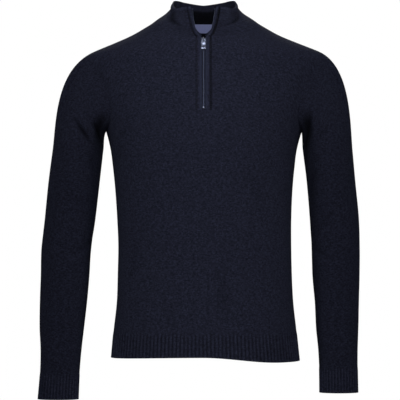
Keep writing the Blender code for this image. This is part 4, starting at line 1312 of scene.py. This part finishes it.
def new_bridge(face):
    """The arched bridge over the pull's bar, swept from one foot to the other."""
    strap = new_block(2 * BRIDGE_HALF, BRIDGE_THICK, 2 * BRIDGE_REACH)
    slice_block(strap, 2, np.linspace(-BRIDGE_REACH, BRIDGE_REACH, BRIDGE_STEPS + 1)[1:-1])
    for vert in strap.data.vertices:
        angle = math.pi * min(max(vert.co.z / MM / BRIDGE_REACH + 1, 0), 2) / 2
        outside = vert.co.y < 0
        rise = 2 * HINGE_OUT + BRIDGE_SUNK + (BRIDGE_THICK if outside else 0)
        reach = BRIDGE_REACH - (0 if outside else BRIDGE_THICK)
        up = -reach * math.copysign(abs(math.cos(angle)) ** BRIDGE_SQUARE, math.cos(angle))
        out = rise * abs(math.sin(angle)) ** BRIDGE_SQUARE
        vert.co.x *= 1 - BRIDGE_WAIST * math.sin(angle)
        vert.co.y = (face + BRIDGE_SUNK - out) * MM
        vert.co.z = (HINGE_UP + up) * MM
    round_edges(strap, BRIDGE_EDGE)
    return strap


def add_pull(place):
    """A flat tab with a window, whose round bar turns under the slider's bridge, and a wider foot."""
    half_hole = BRIDGE_HALF + CLEAR
    half_bar = PULL_THICK / 2
    long = PULL_LONG + half_bar
    tab = new_block(2 * PULL_HALF, PULL_THICK, long)
    tab.data.transform(Matrix.Translation((0, 0, (half_bar - long / 2) * MM)))
    foot_top = PULL_FOOT_LONG - PULL_LONG
    window_low = -half_bar - PULL_WINDOW
    panel_low, panel_high = foot_top + PANEL_ABOVE_FOOT, window_low - PANEL_UNDER_WINDOW
    panel_half = PULL_HALF - PANEL_SIDE
    slice_block(tab, 2, (foot_top, foot_top + PULL_FOOT_STEP, panel_low, panel_high, window_low, -half_bar))
    slice_block(tab, 0, (-panel_half, -half_hole, half_hole, panel_half))
    pick(tab, lambda place: place.z < foot_top + TOUCH)
    bpy.ops.transform.resize(value=(PULL_FOOT_HALF / PULL_HALF, 1, 1))
    bpy.ops.object.mode_set(mode="OBJECT")
    pick(tab, lambda place: place.z > half_bar - TOUCH)
    bpy.ops.transform.resize(value=(PULL_HEAD_HALF / PULL_HALF, 1, 1))
    bpy.ops.object.mode_set(mode="OBJECT")

    def in_window(place, normal):
        return abs(normal.y) > FACING and abs(place.x) < half_hole and window_low < place.z < -half_bar

    pick(tab, in_window, "FACE")
    bpy.ops.mesh.bridge_edge_loops()
    bpy.ops.object.mode_set(mode="OBJECT")

    def in_panel(place, normal):
        inside = abs(place.x) < panel_half and panel_low < place.z < panel_high
        return inside and normal.y < -FACING

    pick(tab, in_panel, "FACE")
    bpy.ops.mesh.inset(thickness=PANEL_SLOPE * MM, depth=-PANEL_SUNK * MM)
    bpy.ops.object.mode_set(mode="OBJECT")
    round_edges(tab, PULL_EDGE, 3)
    tab.data.transform(place)
    finish_hardware(tab, "pull_tab", NICKEL, "pull")
    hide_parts("zip_pull")


def new_stitch():
    """One stitch of sewing thread, along Z, pulled down into the cloth at both ends."""
    stitch = new_block(STITCH_THICK, STITCH_THICK, STITCH_LONG)
    slice_block(stitch, 2, (-STITCH_LONG / 6, STITCH_LONG / 6))
    pick(stitch, lambda place: abs(place.z) > STITCH_LONG / 3)
    bpy.ops.transform.resize(value=(STITCH_END, STITCH_END, 1))
    bpy.ops.transform.translate(value=(0, STITCH_THICK / 3 * MM, 0))
    bpy.ops.object.mode_set(mode="OBJECT")
    round_edges(stitch, STITCH_THICK / 4, 1)
    return stitch


def sew(name, lines, finish):
    """Rows of stitches along lines of surface(at, depth), each between two places and at one depth."""
    places = []
    for surface, low, high, depth in lines:
        at = spaced(surface, low, high, STITCH_LONG + STITCH_GAP)
        places += frames_along(surface, at, (high - low) / FINE_STEPS, depth)
    row = join_copies(new_stitch(), places)
    finish_hardware(row, name, finish)


def add_topstitches(side):
    """The seam that holds the tape, in the groove beside the welt, on the front and up the collar."""
    sink = WELT_GROOVE_DEEP[side] - STITCH_THICK / 4
    aside = -WELT_GROOVE_AT

    def on_front(height, depth):
        return beside_slot(side, height, aside, depth)

    def on_collar(share, depth):
        deep = depth - COLLAR_PROUD * smooth_step(share / COLLAR_PROUD_REACH)
        return beside_collar(side, share, aside, deep)

    front = (on_front, WELT_END + TOPSTITCH_MARGIN, FRONT_NECK - TOPSTITCH_MARGIN, sink)
    collar = (on_collar, *TOPSTITCH_SHARES, COLLAR_WELT * sink)
    sew("topstitch_" + WORDS[side], (front, collar), THREAD)


def add_zip():
    for side in (RIGHT, LEFT):
        add_tape(side)
        add_topstitches(side)
    add_teeth()
    add_stops()
    place = slider_frame()
    add_slider(place)
    hinge = Matrix.Translation((0, (slider_face() - HINGE_OUT) * MM, HINGE_UP * MM))
    add_pull(place @ hinge @ Matrix.Rotation(math.radians(PULL_REST), 4, "X"))


# ---- Finishes ----

Finish = namedtuple("Finish", "material slot")


def linear(code):
    """A hex colour as the linear values that Blender's sockets take."""
    parts = [int(code[start : start + 2], 16) / 255 for start in (1, 3, 5)]
    return (*(part / 12.92 if part <= 0.04045 else ((part + 0.055) / 1.055) ** 2.4 for part in parts), 1)


def add_node(tree, kind, settings=None, links=None):
    """A node of this kind; settings are its sockets' values and properties, links what its sockets read."""
    node = tree.nodes.new(kind)
    for name, value in (settings or {}).items():
        if isinstance(name, int) or name in node.inputs:
            node.inputs[name].default_value = value
        else:
            setattr(node, name, value)
    for name, source in (links or {}).items():
        tree.links.new(source, node.inputs[name])
    return node


def new_material(name):
    made = bpy.data.materials.new(name)
    made.use_nodes = True
    made.node_tree.nodes.clear()
    return made, made.node_tree


def heather(tree, place, stitch, dark, light):
    """The colour of mottled yarn: a tone for each stitch over longer flecks and broader patches."""
    own = add_node(tree, "ShaderNodeTexWhiteNoise", {"noise_dimensions": "2D"}, {"Vector": stitch})
    few = add_node(tree, "ShaderNodeMath", {"operation": "POWER", 1: PALE_STITCHES}, {
        0: own.outputs["Value"]
    })
    stretched = add_node(tree, "ShaderNodeVectorMath", {"operation": "MULTIPLY", 1: FLECK_STRETCH}, {
        0: place
    })
    fleck = add_node(tree, "ShaderNodeTexNoise", {"Scale": 1 / FLECK, "Detail": 2.0, "Roughness": 0.6}, {
        "Vector": stretched.outputs[0]
    })
    patch = add_node(tree, "ShaderNodeTexNoise", {"Scale": 1 / PATCH, "Detail": 3.0, "Roughness": 0.65}, {
        "Vector": place
    })
    both = add_node(tree, "ShaderNodeMix", {0: PATCH_TONE}, {2: fleck.outputs[0], 3: patch.outputs[0]})
    soft = add_node(tree, "ShaderNodeMapRange", {1: PALE_FROM, 2: PALE_TO}, {0: both.outputs[0]})
    tone = add_node(tree, "ShaderNodeMix", {0: STITCH_TONE}, {2: soft.outputs[0], 3: few.outputs[0]})
    colour = add_node(tree, "ShaderNodeMix", {"data_type": "RGBA", 6: linear(dark), 7: linear(light)}, {
        0: tone.outputs[0]
    })
    return colour.outputs[2]


def knit_stitches(tree, place):
    """Plain knit: the height of its columns of Vs, whose legs are slanting rounded strands, and each
    stitch's own column and course."""
    wobble = add_node(tree, "ShaderNodeTexNoise", {"Scale": 1 / WOBBLE, "Detail": 1.0}, {"Vector": place})
    shift = add_node(tree, "ShaderNodeVectorMath", {"operation": "MULTIPLY_ADD", 1: WOBBLE_BY}, {
        0: wobble.outputs[1], 2: place
    })
    apart = add_node(tree, "ShaderNodeSeparateXYZ", None, {0: shift.outputs[0]})
    wale = add_node(tree, "ShaderNodeMath", {"operation": "DIVIDE", 1: WALE}, {0: apart.outputs[0]})
    aside = add_node(tree, "ShaderNodeMath", {"operation": "PINGPONG", 1: 0.5}, {0: wale.outputs[0]})
    leg_turn = add_node(tree, "ShaderNodeMath", {"operation": "MULTIPLY", 1: 2 * math.pi}, {
        0: aside.outputs[0]
    })
    leg = add_node(tree, "ShaderNodeMath", {"operation": "SINE"}, {0: leg_turn.outputs[0]})
    course = add_node(tree, "ShaderNodeMath", {"operation": "DIVIDE", 1: COURSE}, {0: apart.outputs[1]})
    slanted = add_node(tree, "ShaderNodeMath", {"operation": "MULTIPLY_ADD", 1: STRAND_SLANT}, {
        0: aside.outputs[0], 2: course.outputs[0]
    })
    strand = add_node(tree, "ShaderNodeMath", {"operation": "PINGPONG", 1: 0.5}, {0: slanted.outputs[0]})
    strand_turn = add_node(tree, "ShaderNodeMath", {"operation": "MULTIPLY", 1: 2 * math.pi}, {
        0: strand.outputs[0]
    })
    round_strand = add_node(tree, "ShaderNodeMath", {"operation": "SINE"}, {0: strand_turn.outputs[0]})
    raised = add_node(tree, "ShaderNodeMath", {"operation": "MULTIPLY_ADD", 1: STRAND_HIGH}, {
        0: round_strand.outputs[0], 2: leg.outputs[0]
    })
    fuzz = add_node(tree, "ShaderNodeTexNoise", {"Scale": 1 / FUZZ, "Detail": 2.0}, {"Vector": place})
    height = add_node(tree, "ShaderNodeMath", {"operation": "MULTIPLY_ADD", 1: FUZZ_HIGH}, {
        0: fuzz.outputs[0], 2: raised.outputs[0]
    })
    column = add_node(tree, "ShaderNodeMath", {"operation": "FLOOR"}, {0: wale.outputs[0]})
    row = add_node(tree, "ShaderNodeMath", {"operation": "FLOOR"}, {0: slanted.outputs[0]})
    stitch = add_node(tree, "ShaderNodeCombineXYZ", None, {0: column.outputs[0], 1: row.outputs[0]})
    return height.outputs[0], stitch.outputs[0]


def navy_knit(name, dark, light):
    """Fine wool and cotton knit, machine knitted: matt, with a short nap and a heathered yarn."""
    made, tree = new_material(name)
    place = add_node(tree, "ShaderNodeUVMap", {"uv_map": "cloth"}).outputs[0]
    height, stitch = knit_stitches(tree, place)
    bump = add_node(tree, "ShaderNodeBump", {"Strength": 0.8, "Distance": STITCH_DEEP}, {"Height": height})
    # The shade attribute is painted shade, or painted light where it is below 0, scaled into the yarn's
    # colour
    shade = add_node(tree, "ShaderNodeAttribute", {"attribute_name": "shade"})
    bright = add_node(tree, "ShaderNodeMath", {"operation": "SUBTRACT", 0: 1.0}, {1: shade.outputs["Fac"]})
    colour = add_node(tree, "ShaderNodeVectorMath", {"operation": "SCALE"}, {
        0: heather(tree, place, stitch, dark, light), "Scale": bright.outputs[0]
    })
    shader = add_node(tree, "ShaderNodeBsdfPrincipled", {
        "Roughness": 0.95,
        "Specular IOR Level": 0.06,
        "Sheen Weight": 0.05,
        "Sheen Roughness": 0.45,
        "Sheen Tint": linear("#8f9bc4"),
    }, {"Base Color": colour.outputs[0], "Normal": bump.outputs[0]})
    add_node(tree, "ShaderNodeOutputMaterial", None, {"Surface": shader.outputs[0]})
    return made


def woven_tape():
    """Polyester tape woven in a herringbone, dyed to the yarn: slightly shiny ridges that change slant."""
    made, tree = new_material("herringbone tape")
    place = add_node(tree, "ShaderNodeUVMap", {"uv_map": "cloth"}).outputs[0]
    apart = add_node(tree, "ShaderNodeSeparateXYZ", None, {0: place})
    panel = add_node(tree, "ShaderNodeMath", {"operation": "PINGPONG", 1: TAPE_PANEL}, {0: apart.outputs[0]})
    slanted = add_node(tree, "ShaderNodeMath", {"operation": "ADD"}, {
        0: panel.outputs[0], 1: apart.outputs[1]
    })
    ridge = add_node(tree, "ShaderNodeMath", {"operation": "MULTIPLY", 1: 2 * math.pi / TAPE_RIDGE}, {
        0: slanted.outputs[0]
    })
    wave = add_node(tree, "ShaderNodeMath", {"operation": "SINE"}, {0: ridge.outputs[0]})
    bump = add_node(tree, "ShaderNodeBump", {"Strength": 0.7, "Distance": TAPE_DEEP}, {
        "Height": wave.outputs[0]
    })
    tone = add_node(tree, "ShaderNodeMapRange", {1: -1.0, 2: 1.0}, {0: wave.outputs[0]})
    colour = add_node(tree, "ShaderNodeMix", {
        "data_type": "RGBA", 6: linear("#131521"), 7: linear("#2f3449")
    }, {0: tone.outputs[0]})
    shader = add_node(tree, "ShaderNodeBsdfPrincipled", {"Roughness": 0.7, "Specular IOR Level": 0.1}, {
        "Base Color": colour.outputs[2], "Normal": bump.outputs[0]
    })
    add_node(tree, "ShaderNodeOutputMaterial", None, {"Surface": shader.outputs[0]})
    return made


def spun_thread():
    """Spun polyester sewing thread, dyed to the yarn: two plies twisted round each other, faintly shiny."""
    made, tree = new_material("spun thread")
    place = add_node(tree, "ShaderNodeTexCoord").outputs["Object"]
    ply = add_node(tree, "ShaderNodeTexWave", {"Scale": 1 / THREAD_TWIST, "bands_direction": "DIAGONAL"}, {
        "Vector": place
    })
    bump = add_node(tree, "ShaderNodeBump", {"Strength": 0.6, "Distance": THREAD_DEEP}, {
        "Height": ply.outputs[0]
    })
    colour = add_node(tree, "ShaderNodeMix", {
        "data_type": "RGBA", 6: linear("#12131c"), 7: linear("#232739")
    }, {0: ply.outputs[0]})
    shader = add_node(tree, "ShaderNodeBsdfPrincipled", {"Roughness": 0.7, "Specular IOR Level": 0.2}, {
        "Base Color": colour.outputs[2], "Normal": bump.outputs[0]
    })
    add_node(tree, "ShaderNodeOutputMaterial", None, {"Surface": shader.outputs[0]})
    return made


def satin_label():
    """Woven satin: smooth to the eye, with fine floats across it that give it a soft band of light."""
    made, tree = new_material("pale satin")
    place = add_node(tree, "ShaderNodeUVMap", {"uv_map": "cloth"}).outputs[0]
    stretched = add_node(tree, "ShaderNodeVectorMath", {"operation": "MULTIPLY", 1: SATIN_STRETCH}, {
        0: place
    })
    floats = add_node(tree, "ShaderNodeTexNoise", {"Scale": 1 / SATIN_FLOAT, "Detail": 1.0}, {
        "Vector": stretched.outputs[0]
    })
    bump = add_node(tree, "ShaderNodeBump", {"Strength": 0.4, "Distance": SATIN_DEEP}, {
        "Height": floats.outputs[0]
    })
    colour = add_node(tree, "ShaderNodeMix", {
        "data_type": "RGBA", 6: linear("#666c9c"), 7: linear("#8188ad")
    }, {0: floats.outputs[0]})
    shader = add_node(tree, "ShaderNodeBsdfPrincipled", {
        "Roughness": 0.45,
        "Anisotropic": 0.4,
        "Sheen Weight": 0.2,
    }, {"Base Color": colour.outputs[2], "Normal": bump.outputs[0]})
    add_node(tree, "ShaderNodeOutputMaterial", None, {"Surface": shader.outputs[0]})
    return made


def plated_metal(name, dark, light, roughness, scratch):
    """Die-cast zinc, plated: mirror-like with fine tumbling marks, duller where hands don't rub it."""
    made, tree = new_material(name)
    place = add_node(tree, "ShaderNodeTexCoord").outputs["Object"]
    wear = add_node(tree, "ShaderNodeTexNoise", {"Scale": 1 / WEAR, "Detail": 3.0}, {"Vector": place})
    colour = add_node(tree, "ShaderNodeMix", {"data_type": "RGBA", 6: linear(dark), 7: linear(light)}, {
        0: wear.outputs[0]
    })
    rough = add_node(tree, "ShaderNodeMapRange", {
        1: WEAR_FROM, 2: WEAR_TO, 3: roughness - RUBBED, 4: roughness + DULLED
    }, {0: wear.outputs[0]})
    marks = add_node(tree, "ShaderNodeTexNoise", {"Scale": 1 / MARK, "Detail": 2.0}, {"Vector": place})
    bump = add_node(tree, "ShaderNodeBump", {"Strength": scratch, "Distance": MARK_DEEP}, {
        "Height": marks.outputs[0]
    })
    shader = add_node(tree, "ShaderNodeBsdfPrincipled", {"Metallic": 1.0}, {
        "Base Color": colour.outputs[2], "Roughness": rough.outputs[0], "Normal": bump.outputs[0]
    })
    add_node(tree, "ShaderNodeOutputMaterial", None, {"Surface": shader.outputs[0]})
    return made


# Yarn and stitches, in metres. The knit is drawn at about twice its real gauge, so that it shows.
WALE, COURSE = 0.0024, 0.0020
STRAND_SLANT = 1.3
STITCH_DEEP = 0.0006
STRAND_HIGH = 0.6  # how high a strand is rounded, against its column
FLECK, FLECK_STRETCH, PATCH = 0.0024, (0.45, 1.0, 1.0), 0.0060
STITCH_TONE, PATCH_TONE = 0.4, 0.4  # how much of the mottling is between stitches, and of the rest in patches
PALE_STITCHES = 2.2  # above 1 fewer stitches are pale
PALE_FROM, PALE_TO = 0.40, 0.72  # the values of the noise between which the yarn goes from dark to light
WOBBLE, WOBBLE_BY = 0.012, (0.0014, 0.0014, 0)
FUZZ, FUZZ_HIGH = 0.0007, 0.7
# The other fine patterns, in metres: herringbone, plies of thread, satin floats, worn and tumbled metal
TAPE_PANEL, TAPE_RIDGE, TAPE_DEEP = 0.0022, 0.0008, 0.00015
THREAD_TWIST, THREAD_DEEP = 0.02, 0.0001
SATIN_FLOAT, SATIN_STRETCH, SATIN_DEEP = 0.0004, (0.15, 1.0, 1.0), 0.0001
WEAR, WEAR_FROM, WEAR_TO, RUBBED, DULLED = 0.0015, 0.3, 0.7, 0.06, 0.08
MARK, MARK_DEEP = 0.00025, 0.00002

PLAIN_KNIT = Finish(navy_knit("navy wool knit", "#151620", "#303347"), "plain_knit")
RIB_KNIT = Finish(PLAIN_KNIT.material, "rib_knit")
LABEL_SATIN = Finish(satin_label(), "label_cloth")
ZIP_TAPE = Finish(woven_tape(), "zip_tape")
NICKEL = Finish(plated_metal("polished nickel", "#383c48", "#4f5463", 0.26, 0.4), "zip_metal")
TOOTH_METAL = Finish(plated_metal("tumbled nickel", "#2d3241", "#454b60", 0.34, 0.6), "zip_metal")
THREAD = Finish(spun_thread(), "plain_knit")
CUT = {}  # each cloth piece's flat width, length and area

add_front()
add_back()
add_hem(FRONT)
add_hem(BACK)
for side in (RIGHT, LEFT):
    add_sleeve(side)
    add_cuff(side)
add_collar()
add_label()
add_zip()

for name, size in CUT.items():
    print("cut", name, " ".join(f"{value:.3f}" for value in size))


def add_stage():
    """A sheet of pale floor paper: matt all over, without a highlight."""
    bpy.ops.mesh.primitive_circle_add(
        vertices=96, radius=FLOOR_RADIUS, fill_type="NGON", location=(0, 0, FLOOR_LEVEL)
    )
    floor = bpy.context.object
    floor.name = "floor"
    made, tree = new_material("pale floor paper")
    shader = add_node(tree, "ShaderNodeBsdfPrincipled", {"Base Color": linear("#f3f3f3"), "Roughness": 0.9})
    add_node(tree, "ShaderNodeOutputMaterial", None, {"Surface": shader.outputs[0]})
    floor.data.materials.append(made)


def add_light(name, place, aim, wide, high, power, spread):
    """A softbox with a grid, which keeps its light within this many degrees."""
    data = bpy.data.lights.new(name, "AREA")
    data.shape = "RECTANGLE"
    data.size, data.size_y = wide, high
    data.energy = power
    data.spread = math.radians(spread)
    lamp = bpy.data.objects.new(name, data)
    lamp.location = place
    lamp.rotation_euler = (Vector(aim) - Vector(place)).to_track_quat("-Z", "Y").to_euler()
    bpy.context.collection.objects.link(lamp)


def add_camera():
    data = bpy.data.cameras.new("camera")
    data.lens = LENS
    data.sensor_width = 36
    data.clip_end = 50
    camera = bpy.data.objects.new("camera", data)
    camera.location = CAMERA_PLACE
    camera.rotation_euler = (math.radians(90), 0, 0)
    bpy.context.collection.objects.link(camera)
    bpy.context.scene.camera = camera


def add_world():
    """A pale room that lights cloth weakly, shows brighter in metal, and is white behind the sweater."""
    world = bpy.data.worlds.new("studio")
    world.use_nodes = True
    tree = world.node_tree
    tree.nodes.clear()
    path = add_node(tree, "ShaderNodeLightPath")
    seen = add_node(tree, "ShaderNodeBackground", {"Color": linear("#ffffff"), "Strength": 1.0})
    bright = add_node(tree, "ShaderNodeMath", {"operation": "MULTIPLY_ADD", 1: GLOSS_LIGHT, 2: ROOM_LIGHT}, {
        0: path.outputs["Is Glossy Ray"]
    })
    lit = add_node(tree, "ShaderNodeBackground", {"Color": linear("#ffffff")}, {
        "Strength": bright.outputs[0]
    })
    both = add_node(tree, "ShaderNodeMixShader", None, {
        0: path.outputs["Is Camera Ray"], 1: lit.outputs[0], 2: seen.outputs[0]
    })
    add_node(tree, "ShaderNodeOutputWorld", None, {"Surface": both.outputs[0]})
    bpy.context.scene.world = world


# How bright the pale room is for cloth, and how much brighter it shows in polished metal
ROOM_LIGHT, GLOSS_LIGHT = 0.018, 0.09
FLOOR_RADIUS, FLOOR_LEVEL = 3.0, -1.2
LENS, CAMERA_PLACE = 230.8, (-0.0068, -5, -0.36075)

add_stage()
add_light("key", place=(0.0, -3.3, -0.1), aim=(0, 0, -0.28), wide=0.3, high=1.4, power=0.95, spread=14)
add_light("top", place=(0.0, -2.1, 2.1), aim=(0, 0, -0.25), wide=0.8, high=0.6, power=0.85, spread=20)
add_light("back", place=(0.0, 2.7, 1.5), aim=(0, 0, -0.3), wide=0.8, high=0.6, power=0.9, spread=22)
for side in (RIGHT, LEFT):
    name, place = "side_" + WORDS[side], (side * 2.68, -1.55, 0.7)
    add_light(name, place=place, aim=(0, 0, -0.28), wide=0.9, high=1.8, power=1.1, spread=18)
add_camera()
add_world()
bpy.context.scene.view_settings.view_transform = "Standard"
